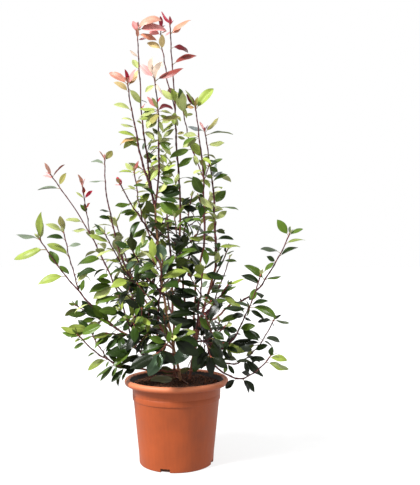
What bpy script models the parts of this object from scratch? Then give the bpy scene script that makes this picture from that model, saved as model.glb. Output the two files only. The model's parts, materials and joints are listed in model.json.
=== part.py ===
"""A red-tipped photinia shrub growing in its terracotta-coloured nursery pot.

Thin woody stems rise from the potting soil and fork into boughs. Each bough carries masses of
foliage: a three-sided shoot with its side twigs and its leaves fused on. Places are written as they
look from a standpoint in front of the pot: across and up on the upright plane through the pot's
axis, and depth behind that plane. Lengths are in metres, +Z is up and the front looks along +Y.
"""

import math
import random
from dataclasses import dataclass

import bmesh
import bpy
from mathutils import Matrix, Vector
from mathutils.bvhtree import BVHTree

UP = Vector((0, 0, 1))
ACROSS = Vector((1, 0, 0))
NEAR_ACROSS = 0.8

# Standpoint from which the places were judged
VIEW_DISTANCE = 1.25
EYE_HEIGHT = 0.418
EYE_ACROSS = 0.071

# Clearances
SEAT_GAP = 0.0003
LEAF_CLEARANCE = 0.0006
SOIL_CLEARANCE = 0.003

# Pot
POT_SIDES = 32
POT_HEIGHT = 0.178
RIM_RADIUS = 0.110
BEAD_WIDTH = 0.0115
BEAD_HEIGHT = 0.013
BEAD_STEPS = 5
BEAD_START = math.radians(-90)
BEAD_SWEEP = math.radians(270)
COLLAR_RADIUS = 0.0937
COLLAR_FOOT = 0.133
WALL_TOP_RADIUS = 0.0907
HEEL_HEIGHT = 0.022
HEEL_RADIUS = 0.0795
FOOT_RADIUS = 0.0783
FOOT_BEVEL = 0.003
WALL = 0.002
FLOOR = 0.003
NOTCH_WIDTH = 0.017
NOTCH_HEIGHT = 0.0065
NOTCH_DEPTH = 0.012
NOTCH_COUNT = 4
NOTCH_TURN = math.radians(-14)
BOX_FACES = ((0, 1, 3, 2), (4, 6, 7, 5), (0, 4, 5, 1), (2, 3, 7, 6), (0, 2, 6, 4), (1, 5, 7, 3))

# Soil
SOIL_LEVEL = 0.160
SOIL_EDGE_DROP = 0.003
SOIL_EDGE_WIDTH = 0.012

# Wood. A shape is steps along and sides round. THINNER is the most of its parent's radius that a shoot has
LIMB_SHAPE = (6, 5)
TWIG_SHAPE = (5, 3)
SPUR_SHAPE = (2, 3)
FOOT_SAMPLES = 6
FLARE = 1.45
FLARE_REACH = 0.12
TWIG_TIP_RADIUS = 0.0011
FORK_RADIUS = 0.0017
THINNER = 0.85

# Spurs: the stretch of the main shoot that carries them, and how they leave it
SPUR_RADIUS = 0.0014
SPUR_TIP_RADIUS = 0.0010
SPUR_LENGTH = 0.058
SPUR_STRETCH = (0.85, 1.20)
SPUR_BEND = 0.175
SPUR_FIRST = 0.22
SPUR_SPAN = 0.60
SPUR_STRAY = (0.20, 0.80)
SPUR_ALONG = 0.75
SPUR_RISE = 0.15

# Shares of a fork's or spur's length that carry no leaf
FORK_LEAFLESS = 0.20
SPUR_LEAFLESS = 0.30

# Blade of a leaf
LEAF_SLENDERNESS = 0.43
LEAF_KEEL = 0.0014
LEAF_KEEL_SHARE = 0.22
LEAF_ROOT = 0.0006
LEAF_SHOULDER = 0.34
LEAF_BROADEST = 0.68
SHOULDER_SHARE = 0.86

# Faces of a blade's top, and its rim's corners clockwise from above, as Leaf.rim numbers them
BLADE_TOP = [(0, 2, 1), (2, 4, 3, 1), (4, 5, 3)]
BLADE_AROUND = (0, 1, 3, 5, 4, 2)

# Stand of the leaves. At a tip they are young: close together, small and upright
TIP_INSET = 0.002
TIP_SPACING = 0.20
SPACING_GAIN = 0.16
YOUNG_LEAVES = 6
GOLDEN_ANGLE = math.radians(137.5)
AZIMUTH_STRAY = 0.35
YOUNG_TILT, TILT_GAIN, TILT_STRAY = 26, 28, (-12, 14)
YOUNG_SIZE, SIZE_GAIN, SIZE_STRAY = 0.72, 0.28, (0.84, 1.14)
YOUNG_DROOP, DROOP_GAIN, DROOP_STRAY = 22, 44, (-14, 18)
ROLL_STRAY = (-42, 42)
NUDGES = [math.radians(turn) for turn in (0, 24, -24, 48, -48, 75, -75, 105)]

# Look of the source's surfaces: base colour and roughness
TERRACOTTA = ((0.56, 0.17, 0.07), 0.45)
PEAT = ((0.030, 0.018, 0.012), 0.95)
BARK = ((0.16, 0.085, 0.05), 0.70)
FOLIAGE = ((0.045, 0.12, 0.03), 0.40)
POT_CREASE = math.radians(35)
LIMB_CREASE = math.radians(70)


@dataclass
class Limb:
    """A leafless stem or bough. One with no parent rises from the soil at its foot."""

    name: str
    parent: str
    at: float
    tip: tuple
    radius: float
    tip_radius: float
    bend: float = 0.0
    swing: float = 0.0
    foot: tuple = None


@dataclass
class Fork:
    """A second shoot that leaves the main one of its mass."""

    at: float
    tip: tuple
    bend: float = 0.2
    swing: float = 0.0


@dataclass
class Mass:
    """One mass of foliage on a limb, with the length of its full-grown leaves and their spacing."""

    name: str
    parent: str
    at: float
    tip: tuple
    leaf: float = 0.056
    spacing: float = 0.025
    leafless: float = 0.12
    bare: tuple = (0.0, 0.0)
    spurs: int = 0
    bend: float = 0.0
    swing: float = 0.0
    forks: tuple = ()


LIMBS = (
    Limb("stem_left", "", 0, (-0.046, 0.545, -0.010), 0.0037, 0.0025, swing=-0.10,
         foot=(0.012, 0.160, 0.000)),
    Limb("stem_right", "", 0, (0.083, 0.410, 0.010), 0.0038, 0.0027, bend=0.10, swing=-0.12,
         foot=(0.026, 0.160, 0.014)),
    Limb("stem_back", "", 0, (-0.010, 0.400, 0.075), 0.0036, 0.0024, bend=0.10,
         foot=(-0.006, 0.160, 0.034)),
    Limb("bough_left_out", "stem_left", 0.17, (-0.122, 0.277, -0.018), 0.0028, 0.0022, bend=0.15),
    Limb("bough_left_low", "stem_left", 0.08, (-0.080, 0.196, -0.042), 0.0026, 0.0021, bend=0.10),
    Limb("bough_left_mid", "stem_left", 0.32, (-0.094, 0.378, 0.030), 0.0026, 0.0021, bend=0.25),
    Limb("bough_right_low", "stem_right", 0.22, (0.092, 0.236, -0.022), 0.0027, 0.0021, bend=0.25),
    Limb("bough_right_rim", "stem_right", 0.12, (0.078, 0.206, -0.054), 0.0025, 0.0020, bend=-0.10),
    Limb("bough_right_out", "stem_right", 0.50, (0.116, 0.334, 0.032), 0.0027, 0.0022, bend=0.20),
    Limb("bough_right_in", "stem_right", 0.36, (0.058, 0.455, -0.026), 0.0028, 0.0022, swing=-0.20),
    Limb("bough_centre", "stem_right", 0.26, (0.008, 0.540, 0.020), 0.0029, 0.0022, swing=-0.12),
    Limb("bough_front_left", "stem_left", 0.22, (-0.040, 0.300, -0.085), 0.0028, 0.0022, bend=0.30),
    Limb("bough_front_right", "stem_right", 0.24, (0.042, 0.280, -0.080), 0.0027, 0.0022, bend=0.30),
    Limb("bough_back_left", "stem_back", 0.32, (-0.078, 0.315, 0.125), 0.0028, 0.0022, bend=0.30),
    Limb("bough_back_right", "stem_back", 0.26, (0.060, 0.300, 0.130), 0.0028, 0.0022, bend=0.30),
)

MASSES = (
    # Tall shoots of the top
    Mass("crown_left", "stem_left", 1.0, (-0.104, 0.802, -0.030), swing=-0.10, leafless=0.16),
    Mass("crown_left_tall", "stem_left", 0.95, (-0.083, 0.920, 0.018), swing=-0.08,
         leafless=0.20, bare=(0.50, 0.70)),
    Mass("crown_inner_left", "stem_left", 0.98, (-0.049, 0.826, -0.058), swing=0.14,
         leafless=0.22, bare=(0.55, 0.68)),
    Mass("crown_centre", "bough_centre", 1.0, (-0.014, 0.926, -0.012), leafless=0.10,
         bare=(0.60, 0.68), forks=(Fork(0.54, (-0.034, 0.922, 0.028), 0.0, -0.12),)),
    Mass("crown_inner_right", "bough_right_in", 1.0, (0.040, 0.750, -0.052), swing=0.10,
         leafless=0.14, forks=(Fork(0.50, (0.012, 0.758, 0.030), 0.0, -0.15),)),
    Mass("crown_right", "stem_right", 1.0, (0.060, 0.700, 0.022), swing=0.10, leafless=0.05),
    # Side shoots on the left
    Mass("left_outer", "bough_left_out", 1.0, (-0.313, 0.472, -0.040), bend=0.25, leafless=0.16,
         forks=(Fork(0.52, (-0.240, 0.484, 0.018), 0.15),)),
    Mass("left_tall", "bough_left_out", 0.80, (-0.268, 0.608, 0.040), bend=0.05, swing=0.26,
         leafless=0.16, bare=(0.66, 0.84), forks=(Fork(0.64, (-0.200, 0.582, -0.012), 0.1),)),
    Mass("left_side", "bough_left_out", 0.92, (-0.214, 0.330, 0.034), leafless=0.20),
    Mass("left_low", "bough_left_low", 1.0, (-0.210, 0.268, -0.078), bend=0.50, leafless=0.22,
         forks=(Fork(0.50, (-0.184, 0.278, -0.036), 0.3),)),
    Mass("left_inner", "bough_left_mid", 1.0, (-0.153, 0.640, 0.062), swing=-0.22, leafless=0.10),
    Mass("left_front", "bough_left_mid", 0.70, (-0.152, 0.482, -0.050), bend=0.15, leafless=0.20),
    Mass("left_middle", "bough_left_mid", 0.88, (-0.128, 0.505, 0.108), bend=0.15, leafless=0.20),
    Mass("left_upper", "stem_left", 0.80, (-0.120, 0.588, -0.062), bend=0.20, leafless=0.25,
         forks=(Fork(0.42, (-0.090, 0.612, -0.022), 0.1),)),
    # Side shoots on the right
    Mass("right_outer", "bough_right_out", 1.0, (0.242, 0.486, 0.024), bend=0.60, leafless=0.14),
    Mass("right_middle", "bough_right_low", 1.0, (0.178, 0.393, -0.070), bend=0.65, leafless=0.20,
         spurs=1),
    Mass("right_low", "bough_right_low", 0.70, (0.206, 0.298, 0.050), bend=1.20, leafless=0.22),
    Mass("right_rim", "bough_right_rim", 1.0, (0.199, 0.222, -0.060), bend=1.25, leafless=0.30),
    Mass("right_upper", "stem_right", 0.78, (0.128, 0.470, 0.030), leafless=0.20, spurs=1),
    # The dense body round the stems
    Mass("inner_left", "stem_left", 0.50, (-0.098, 0.455, -0.058), bend=0.25, leafless=0.18, spurs=2,
         leaf=0.068),
    Mass("inner_front", "bough_front_left", 1.0, (-0.030, 0.425, -0.120), leafless=0.10, spurs=3,
         leaf=0.072),
    Mass("inner_right", "bough_front_right", 1.0, (0.056, 0.405, -0.115), leafless=0.10, spurs=3,
         leaf=0.072),
    Mass("inner_centre", "bough_centre", 0.55, (-0.004, 0.515, -0.060), bend=0.15, leafless=0.15,
         spurs=2, leaf=0.068),
    Mass("inner_high", "bough_centre", 0.72, (0.032, 0.560, 0.052), bend=0.15, leafless=0.15,
         spurs=1, leaf=0.064),
    Mass("low_front", "bough_front_left", 0.55, (-0.010, 0.262, -0.150), bend=0.25, leafless=0.15,
         spurs=1, leaf=0.070),
    Mass("low_left", "bough_front_left", 0.75, (-0.104, 0.300, -0.110), bend=0.30, leafless=0.15,
         spurs=2, leaf=0.068),
    Mass("low_right", "bough_front_right", 0.70, (0.102, 0.285, -0.130), bend=0.30, leafless=0.15,
         spurs=2, leaf=0.068),
    Mass("body_left", "bough_left_mid", 0.45, (-0.122, 0.366, -0.045), bend=0.20, leafless=0.15,
         spurs=1, leaf=0.066, spacing=0.022),
    Mass("body_left_low", "bough_left_out", 0.50, (-0.118, 0.316, -0.070), bend=0.20, leafless=0.15,
         spurs=1, leaf=0.066, spacing=0.022),
    Mass("body_right", "stem_right", 0.60, (0.108, 0.372, -0.052), bend=0.20, leafless=0.15,
         spurs=1, leaf=0.066, spacing=0.022),
    Mass("body_right_low", "bough_right_low", 0.50, (0.090, 0.292, -0.030), bend=0.20,
         leafless=0.15, spurs=1, leaf=0.068, spacing=0.022),
    Mass("body_left_high", "stem_left", 0.66, (-0.070, 0.520, 0.045), bend=0.20, leafless=0.15,
         spurs=1, leaf=0.064, spacing=0.022),
    Mass("body_back", "stem_back", 0.55, (-0.040, 0.450, 0.150), bend=0.20, leafless=0.15,
         spurs=1, leaf=0.064, spacing=0.022),
    Mass("rim_left", "bough_left_low", 0.45, (-0.088, 0.244, -0.066), bend=0.20, leafless=0.15,
         spurs=1, leaf=0.062, spacing=0.020),
    Mass("rim_right", "bough_right_low", 0.25, (0.078, 0.240, 0.048), bend=0.25, leafless=0.15,
         spurs=1, leaf=0.064, spacing=0.020),
    # The back
    Mass("back_tall", "stem_back", 1.0, (-0.030, 0.640, 0.120), leafless=0.10, spurs=2, leaf=0.064),
    Mass("back_right_tall", "stem_back", 0.80, (0.070, 0.560, 0.130), bend=0.20, leafless=0.15,
         spurs=2, leaf=0.064),
    Mass("back_left", "bough_back_left", 1.0, (-0.128, 0.450, 0.190), bend=0.25, leafless=0.10,
         spurs=2, leaf=0.068),
    Mass("back_left_low", "bough_back_left", 0.70, (-0.060, 0.320, 0.225), bend=0.30, leafless=0.15,
         spurs=2, leaf=0.068),
    Mass("back_right", "bough_back_right", 1.0, (0.112, 0.430, 0.190), bend=0.25, leafless=0.10,
         spurs=2, leaf=0.068),
    Mass("back_right_low", "bough_back_right", 0.70, (0.108, 0.290, 0.205), bend=0.30,
         leafless=0.15, spurs=2, leaf=0.068),
)


def place(across, up, depth):
    """The point that shows at (across, up) on the axis plane, moved back along its line of sight."""
    reach = 1 + depth / VIEW_DISTANCE
    return Vector((
        EYE_ACROSS + (across - EYE_ACROSS) * reach,
        depth,
        EYE_HEIGHT + (up - EYE_HEIGHT) * reach,
    ))


def square_to(vector, axis):
    """The unit vector that is left of vector once its share along axis is taken out."""
    return (vector - axis * vector.dot(axis)).normalized()


def side_of(tangent):
    """A unit vector square to a tangent, the same each time for the same tangent."""
    return square_to(UP if abs(tangent.x) > NEAR_ACROSS else ACROSS, tangent)


class Path:
    """A smooth tapering line from a foot to a tip, with a flat end at its foot."""

    def __init__(self, foot, tip, bend, swing, radii, shape, foot_normal=None):
        steps, self.sides = shape
        chord = tip - foot
        lean = chord.length * (swing * ACROSS - bend * UP)
        leave, arrive = chord + lean, chord - lean
        shares = [step / steps for step in range(steps + 1)]
        self.points = [
            foot * (2 * t**3 - 3 * t**2 + 1)
            + leave * (t**3 - 2 * t**2 + t)
            + tip * (3 * t**2 - 2 * t**3)
            + arrive * (t**3 - t**2)
            for t in shares
        ]
        ends = [self.points[0], *self.points, self.points[-1]]
        self.tangents = [(after - before).normalized() for before, after in zip(ends, ends[2:])]
        self.radii = [radii[0] + (radii[1] - radii[0]) * t for t in shares]
        self.foot_normal = foot_normal or self.tangents[0]
        self.length = sum((b - a).length for a, b in zip(self.points, self.points[1:]))

    def at(self, share):
        """Point, tangent and radius at a share of the way from the foot."""
        place_along = min(max(share, 0), 1) * (len(self.points) - 1)
        index = min(int(place_along), len(self.points) - 2)
        part = place_along - index
        return (
            self.points[index].lerp(self.points[index + 1], part),
            self.tangents[index].lerp(self.tangents[index + 1], part).normalized(),
            self.radii[index] * (1 - part) + self.radii[index + 1] * part,
        )

    def tube(self, extra=0.0):
        """Corners and faces of the closed tube, made thicker all round by extra."""
        corners = []
        sides = self.sides
        side = side_of(self.foot_normal)
        normals = [self.foot_normal, *self.tangents[1:]]
        for point, normal, radius in zip(self.points, normals, self.radii):
            side = square_to(side, normal)
            other = normal.cross(side)
            for k in range(sides):
                turn = 2 * math.pi * k / sides
                spoke = side * math.cos(turn) + other * math.sin(turn)
                corners.append(point + spoke * (radius + extra))
        faces = [tuple(reversed(range(sides)))]
        for ring in range(len(self.points) - 1):
            first = ring * sides
            for k in range(sides):
                after = (k + 1) % sides
                faces.append((first + k, first + after, first + sides + after, first + sides + k))
        last = (len(self.points) - 1) * sides
        faces.append(tuple(range(last, last + sides)))
        return corners, faces


def flare_foot(path):
    """Widens the lowest part of a stem where it meets the soil."""
    for index in range(len(path.points)):
        share = index / (len(path.points) - 1)
        path.radii[index] *= 1 + (FLARE - 1) * math.exp(-share / FLARE_REACH)


def flank_gap(parent, path, outward):
    """How far the flat foot of a path stands off its parent's flank, measured against outward."""
    flank = BVHTree.FromPolygons(*parent.tube())
    ring = path.tube()[0][:path.sides]
    samples = [path.points[0]]
    for corner, after in zip(ring, ring[1:] + ring[:1]):
        samples += [corner.lerp(after, step / FOOT_SAMPLES) for step in range(FOOT_SAMPLES)]
    hits = [flank.ray_cast(sample, -outward) for sample in samples]
    return min(distance for where, _, _, distance in hits if where)


def branch(parent, at, tip, bend, swing, radii, shape):
    """A path that leaves its parent's flank, or follows on from its tip, a seat gap clear of it."""
    point, tangent, parent_radius = parent.at(at)
    if at >= 1:
        return Path(point + tangent * SEAT_GAP, tip, bend, swing, radii, shape, tangent)
    radii = (min(radii[0], THINNER * parent_radius), radii[1])
    heading = Path(point, tip, bend, swing, radii, shape).tangents[0]
    outward = square_to(heading, tangent)
    foot_normal = (outward + heading).normalized()
    foot = point + outward * 2 * parent_radius
    loose = Path(foot, tip, bend, swing, radii, shape, foot_normal)
    foot -= outward * (flank_gap(parent, loose, outward) - SEAT_GAP)
    return Path(foot, tip, bend, swing, radii, shape, foot_normal)


def pairs_around(first):
    """Each corner of a blade's rim with the next one clockwise, seen from above."""
    around = [first + corner for corner in BLADE_AROUND]
    return list(zip(around, around[1:] + around[:1]))


class Leaf:
    """An arched blade with a keel, in a frame of its own: forward, left and up."""

    def __init__(self, origin, forward, normal, length, droop):
        self.origin = origin
        self.forward = forward
        self.normal = normal
        self.left = normal.cross(forward)
        self.length = length
        self.width = length * LEAF_SLENDERNESS
        self.droop = droop

    def point(self, share, sideways=0.0, lift=0.0):
        """A point at a share of the midrib's length, moved sideways and along the blade's normal."""
        turn = self.droop * share
        ahead = self.length * math.sin(turn) / self.droop
        sunk = self.length * (1 - math.cos(turn)) / self.droop
        normal = self.normal * math.cos(turn) + self.forward * math.sin(turn)
        midrib = self.origin + self.forward * ahead - self.normal * sunk
        return midrib + self.left * sideways + normal * lift

    def rim(self, extra=0.0, lift=0.0, start=None):
        """Corners round the blade: root, left and right shoulder, left and right broadest, end."""
        half = self.width / 2 + extra
        start = self.origin if start is None else start
        return [
            start - self.forward * (LEAF_ROOT + extra) + self.normal * lift,
            self.point(LEAF_SHOULDER, half * SHOULDER_SHARE, lift),
            self.point(LEAF_SHOULDER, -half * SHOULDER_SHARE, lift),
            self.point(LEAF_BROADEST, half, lift),
            self.point(LEAF_BROADEST, -half, lift),
            self.point(1 + extra / self.length, 0, lift),
        ]

    def solid(self, start=None):
        """Corners and faces of the closed leaf: a blade on a keel."""
        keel = self.point(LEAF_KEEL_SHARE, 0, -LEAF_KEEL)
        corners = self.rim(start=start) + [keel]
        return corners, BLADE_TOP + [(corner, after, 6) for corner, after in pairs_around(0)]

    def blade(self):
        """The leaf without its root, which is sunk in the twig."""
        return self.solid(start=self.point(LEAF_SHOULDER / 2))

    def shell(self):
        """The leaf made thicker all round by its clearance."""
        above = self.rim(LEAF_CLEARANCE, LEAF_CLEARANCE)
        below = self.rim(LEAF_CLEARANCE, -LEAF_CLEARANCE)
        keel = self.point(LEAF_KEEL_SHARE, 0, -LEAF_KEEL - LEAF_CLEARANCE)
        edge = [(corner, after, after + 6, corner + 6) for corner, after in pairs_around(0)]
        under = [(corner, after, 12) for corner, after in pairs_around(6)]
        return above + below + [keel], BLADE_TOP + edge + under


class Obstacle:
    """Something a new twig or leaf has to stay clear of."""

    def __init__(self, owner, twig, solid, blade=None):
        corners, faces = solid
        self.owner = owner
        self.twig = twig
        self.centre = sum(corners, Vector()) / len(corners)
        self.reach = max((corner - self.centre).length for corner in corners)
        self.tree = BVHTree.FromPolygons(corners, faces)
        self.blade = BVHTree.FromPolygons(*blade) if blade else None


def is_clear(owner, twig, whole, blade, obstacles):
    """False if the thickened shape cuts an obstacle. In its own mass only the blades are compared."""
    corners, faces = whole
    centre = sum(corners, Vector()) / len(corners)
    reach = max((corner - centre).length for corner in corners)
    tree = BVHTree.FromPolygons(corners, faces)
    blade_tree = BVHTree.FromPolygons(*blade) if blade else tree
    for other in obstacles:
        if (other.centre - centre).length > other.reach + reach:
            continue
        if other.owner != owner:
            if tree.overlap(other.tree):
                return False
        elif other.blade:
            if blade_tree.overlap(other.blade):
                return False
        elif other.twig != twig and blade and blade_tree.overlap(other.tree):
            return False
    return True


def above_soil(corners):
    """False if a corner inside the pot's mouth comes too near the soil."""
    return all(
        corner.z > SOIL_LEVEL + SOIL_CLEARANCE
        for corner in corners
        if math.hypot(corner.x, corner.y) < RIM_RADIUS
    )


def leaf_stations(length, leafless, bare, spacing):
    """Shares of a twig's length where leaves stand, from the tip down, closest at the tip."""
    stations = []
    back = TIP_INSET
    while back < length * (1 - leafless):
        share = 1 - back / length
        if not bare[0] < share < bare[1]:
            stations.append(share)
        back += spacing * min(1, TIP_SPACING + SPACING_GAIN * len(stations))
    return stations


def grow_leaf(mass, twig, path, index, share, turn):
    """The leaf at one station of a twig, turned about it by one nudge."""
    draw = random.Random(f"{mass.name} {twig} {index}")
    age = min(1, index / YOUNG_LEAVES)
    azimuth = GOLDEN_ANGLE * index + draw.uniform(-AZIMUTH_STRAY, AZIMUTH_STRAY)
    tilt = math.radians(YOUNG_TILT + TILT_GAIN * age + draw.uniform(*TILT_STRAY))
    length = mass.leaf * (YOUNG_SIZE + SIZE_GAIN * age) * draw.uniform(*SIZE_STRAY)
    droop = math.radians(YOUNG_DROOP + DROOP_GAIN * age + draw.uniform(*DROOP_STRAY))
    roll = math.radians(draw.uniform(*ROLL_STRAY))
    point, tangent, _ = path.at(share)
    outward = Matrix.Rotation(azimuth + turn, 3, tangent) @ side_of(tangent)
    forward = tangent * math.cos(tilt) + outward * math.sin(tilt)
    inner = tangent * math.sin(tilt) - outward * math.cos(tilt)
    normal = Matrix.Rotation(roll, 3, forward) @ square_to(inner + UP, forward)
    return Leaf(point, forward, normal, length, droop)


def grow_spur(mass, path, number):
    """A short side twig of a mass, where its seeded rule puts it."""
    draw = random.Random(f"{mass.name} spur {number}")
    share = SPUR_FIRST + SPUR_SPAN * (number + draw.uniform(*SPUR_STRAY)) / mass.spurs
    point, tangent, radius = path.at(share)
    azimuth = GOLDEN_ANGLE * number + 2 * math.pi * draw.random()
    outward = Matrix.Rotation(azimuth, 3, tangent) @ side_of(tangent)
    heading = (tangent * SPUR_ALONG + outward + UP * SPUR_RISE).normalized()
    tip = point + heading * SPUR_LENGTH * draw.uniform(*SPUR_STRETCH)
    radii = (min(SPUR_RADIUS, THINNER * radius), SPUR_TIP_RADIUS)
    return Path(point, tip, SPUR_BEND, 0, radii, SPUR_SHAPE)


def limb_paths():
    """Every limb's path by name."""
    paths = {}
    for limb in LIMBS:
        radii = (limb.radius, limb.tip_radius)
        tip = place(*limb.tip)
        if limb.parent:
            path = branch(paths[limb.parent], limb.at, tip, limb.bend, limb.swing, radii, LIMB_SHAPE)
        else:
            across, up, depth = limb.foot
            foot = Vector((across, depth, up + SEAT_GAP))
            path = Path(foot, tip, limb.bend, limb.swing, radii, LIMB_SHAPE, UP)
            flare_foot(path)
        paths[limb.name] = path
    return paths


def main_twigs(mass, limbs):
    """The main shoot of a mass and its forks, by name."""
    parent = limbs[mass.parent]
    radii = (parent.at(mass.at)[2], TWIG_TIP_RADIUS)
    main = branch(parent, mass.at, place(*mass.tip), mass.bend, mass.swing, radii, TWIG_SHAPE)
    twigs = {"main": main}
    for number, fork in enumerate(mass.forks):
        foot, _, radius = main.at(fork.at)
        radii = (min(FORK_RADIUS, THINNER * radius), TWIG_TIP_RADIUS)
        twigs[f"fork {number}"] = Path(foot, place(*fork.tip), fork.bend, fork.swing, radii, TWIG_SHAPE)
    return twigs


def spur_twigs(mass, main, obstacles):
    """Those spurs of a mass that have room, by name."""
    twigs = {}
    for number in range(mass.spurs):
        spur = grow_spur(mass, main, number)
        solid = spur.tube(LEAF_CLEARANCE)
        if above_soil(solid[0]) and is_clear(mass.name, "", solid, None, obstacles):
            twigs[f"spur {number}"] = spur
    return twigs


def add_twigs(mass, twigs, obstacles):
    """Makes the twigs of a mass obstacles to what grows later."""
    for twig, path in twigs.items():
        obstacles.append(Obstacle(mass.name, twig, path.tube()))


def twig_stations(mass, twig, path):
    """Where leaves stand on one twig of a mass."""
    leafless, bare = mass.leafless, mass.bare
    if twig != "main":
        leafless, bare = (FORK_LEAFLESS if twig.startswith("fork") else SPUR_LEAFLESS), (0, 0)
    return leaf_stations(path.length, leafless, bare, mass.spacing)


def grow_leaves(mass, twigs, obstacles):
    """The leaves of one mass. Each is turned about its twig until it's clear, or else left out."""
    leaves = []
    for twig, path in twigs.items():
        for index, share in enumerate(twig_stations(mass, twig, path)):
            for turn in NUDGES:
                leaf = grow_leaf(mass, twig, path, index, share, turn)
                shell, blade = leaf.shell(), leaf.blade()
                if above_soil(shell[0]) and is_clear(mass.name, twig, shell, blade, obstacles):
                    leaves.append(leaf)
                    obstacles.append(Obstacle(mass.name, twig, leaf.solid(), blade))
                    break
    return leaves


def principled(name, look):
    """A plain material from its base colour and roughness."""
    colour, roughness = look
    material = bpy.data.materials.new(name)
    material.use_nodes = True
    shader = material.node_tree.nodes["Principled BSDF"]
    shader.inputs["Base Color"].default_value = (*colour, 1)
    shader.inputs["Roughness"].default_value = roughness
    shader.inputs["Metallic"].default_value = 0
    return material


def solid_object(name, solid, material=None):
    """A mesh object in the scene from corners and faces."""
    corners, faces = solid
    mesh = bpy.data.meshes.new(name)
    mesh.from_pydata(corners, [], faces)
    built = bpy.data.objects.new(name, mesh)
    bpy.context.scene.collection.objects.link(built)
    if material:
        mesh.materials.append(material)
    return built


def apply_modifiers(built):
    """Replaces the object's mesh by the one that its modifiers give."""
    graph = bpy.context.evaluated_depsgraph_get()
    mesh = bpy.data.meshes.new_from_object(built.evaluated_get(graph))
    built.modifiers.clear()
    built.data = mesh


def volume_of(faces):
    """Signed volume inside a set of triangulated faces."""
    return sum(f.verts[0].co.dot(f.verts[1].co.cross(f.verts[2].co)) for f in faces) / 6


def keep_largest_body(mesh):
    """Drops loose scraps and the walls of sealed hollows from a fused mesh."""
    shape = bmesh.new()
    shape.from_mesh(mesh)
    bmesh.ops.triangulate(shape, faces=shape.faces)
    unseen = set(shape.faces)
    bodies = []
    while unseen:
        body, edge = set(), {next(iter(unseen))}
        while edge:
            body |= edge
            edge = {near for f in edge for e in f.edges for near in e.link_faces} - body
        unseen -= body
        bodies.append(body)
    largest = max(bodies, key=volume_of)
    spare = [face for body in bodies if body is not largest for face in body]
    bmesh.ops.delete(shape, geom=spare, context="FACES")
    bmesh.ops.delete(shape, geom=[v for v in shape.verts if not v.link_faces], context="VERTS")
    shape.to_mesh(mesh)
    shape.free()


def fuse(name, solids, material):
    """One object from overlapping solids, by a union of the first with a collection of the rest."""
    base = solid_object(name, solids[0], material)
    group = bpy.data.collections.new(f"{name}_parts")
    bpy.context.scene.collection.children.link(group)
    for number, solid in enumerate(solids[1:]):
        part = solid_object(f"{name}_part_{number}", solid)
        bpy.context.scene.collection.objects.unlink(part)
        group.objects.link(part)
    union = base.modifiers.new("union", "BOOLEAN")
    union.operation = "UNION"
    union.operand_type = "COLLECTION"
    union.collection = group
    union.solver = "EXACT"
    apply_modifiers(base)
    for part in list(group.objects):
        bpy.data.objects.remove(part)
    bpy.data.collections.remove(group)
    keep_largest_body(base.data)
    return base


def turned(name, profile, sides, material):
    """A closed solid turned about the Z axis. The profile runs from the lower axis point to the upper."""
    corners = [Vector((0, 0, profile[0][1]))]
    faces = []
    rings = profile[1:-1]
    for radius, height in rings:
        for k in range(sides):
            turn = 2 * math.pi * k / sides
            corners.append(Vector((radius * math.cos(turn), radius * math.sin(turn), height)))
    corners.append(Vector((0, 0, profile[-1][1])))
    for k in range(sides):
        after = (k + 1) % sides
        faces.append((0, 1 + after, 1 + k))
        for ring in range(len(rings) - 1):
            low, high = 1 + ring * sides, 1 + (ring + 1) * sides
            faces.append((low + k, low + after, high + after, high + k))
        last = 1 + (len(rings) - 1) * sides
        faces.append((last + k, last + after, len(corners) - 1))
    built = solid_object(name, (corners, faces), material)
    built.data.shade_smooth()
    built.data.set_sharp_from_angle(angle=POT_CREASE)
    return built


def pot_profile():
    """Outline of the pot from the middle of its underside, over the rim, to the middle of its floor."""
    bead_foot = POT_HEIGHT - BEAD_HEIGHT
    outer = [
        (0, 0),
        (FOOT_RADIUS - FOOT_BEVEL, 0),
        (FOOT_RADIUS, FOOT_BEVEL),
        (HEEL_RADIUS, HEEL_HEIGHT),
        (WALL_TOP_RADIUS, COLLAR_FOOT - WALL / 2),
        (COLLAR_RADIUS - WALL / 2, COLLAR_FOOT + WALL / 2),
        (COLLAR_RADIUS, bead_foot),
    ]
    bead = []
    for step in range(BEAD_STEPS + 1):
        turn = BEAD_START + BEAD_SWEEP * step / BEAD_STEPS
        bead.append((
            RIM_RADIUS + BEAD_WIDTH / 2 * (math.cos(turn) - 1),
            POT_HEIGHT + BEAD_HEIGHT / 2 * (math.sin(turn) - 1),
        ))
    inner = [
        (COLLAR_RADIUS - WALL, bead_foot - WALL),
        (WALL_TOP_RADIUS - WALL, COLLAR_FOOT),
        (HEEL_RADIUS - WALL, HEEL_HEIGHT),
        (FOOT_RADIUS - WALL, FLOOR),
        (0, FLOOR),
    ]
    return outer + bead + inner


def notch_blocks():
    """Blocks that stand where the drain notches are cut out of the pot's foot."""
    corners, faces = [], []
    for number in range(NOTCH_COUNT):
        turn = Matrix.Rotation(NOTCH_TURN + 2 * math.pi * number / NOTCH_COUNT, 3, "Z")
        first = len(corners)
        for x in (-NOTCH_WIDTH / 2, NOTCH_WIDTH / 2):
            for y in (-FOOT_RADIUS - NOTCH_DEPTH, -FOOT_RADIUS + NOTCH_DEPTH / 2):
                for z in (-NOTCH_HEIGHT, NOTCH_HEIGHT):
                    corners.append(turn @ Vector((x, y, z)))
        faces += [tuple(first + corner for corner in face) for face in BOX_FACES]
    return corners, faces


def make_pot(material):
    """A tapering pot with a stepped collar, a rolled rim, a flat underside and drain notches."""
    pot = turned("pot", pot_profile(), POT_SIDES, material)
    cutter = solid_object("drain_notch_cutter", notch_blocks())
    cutter.hide_render = True
    cutter.display_type = "WIRE"
    cut = pot.modifiers.new("drain_notches", "BOOLEAN")
    cut.operation = "DIFFERENCE"
    cut.object = cutter
    cut.solver = "EXACT"
    return pot


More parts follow.
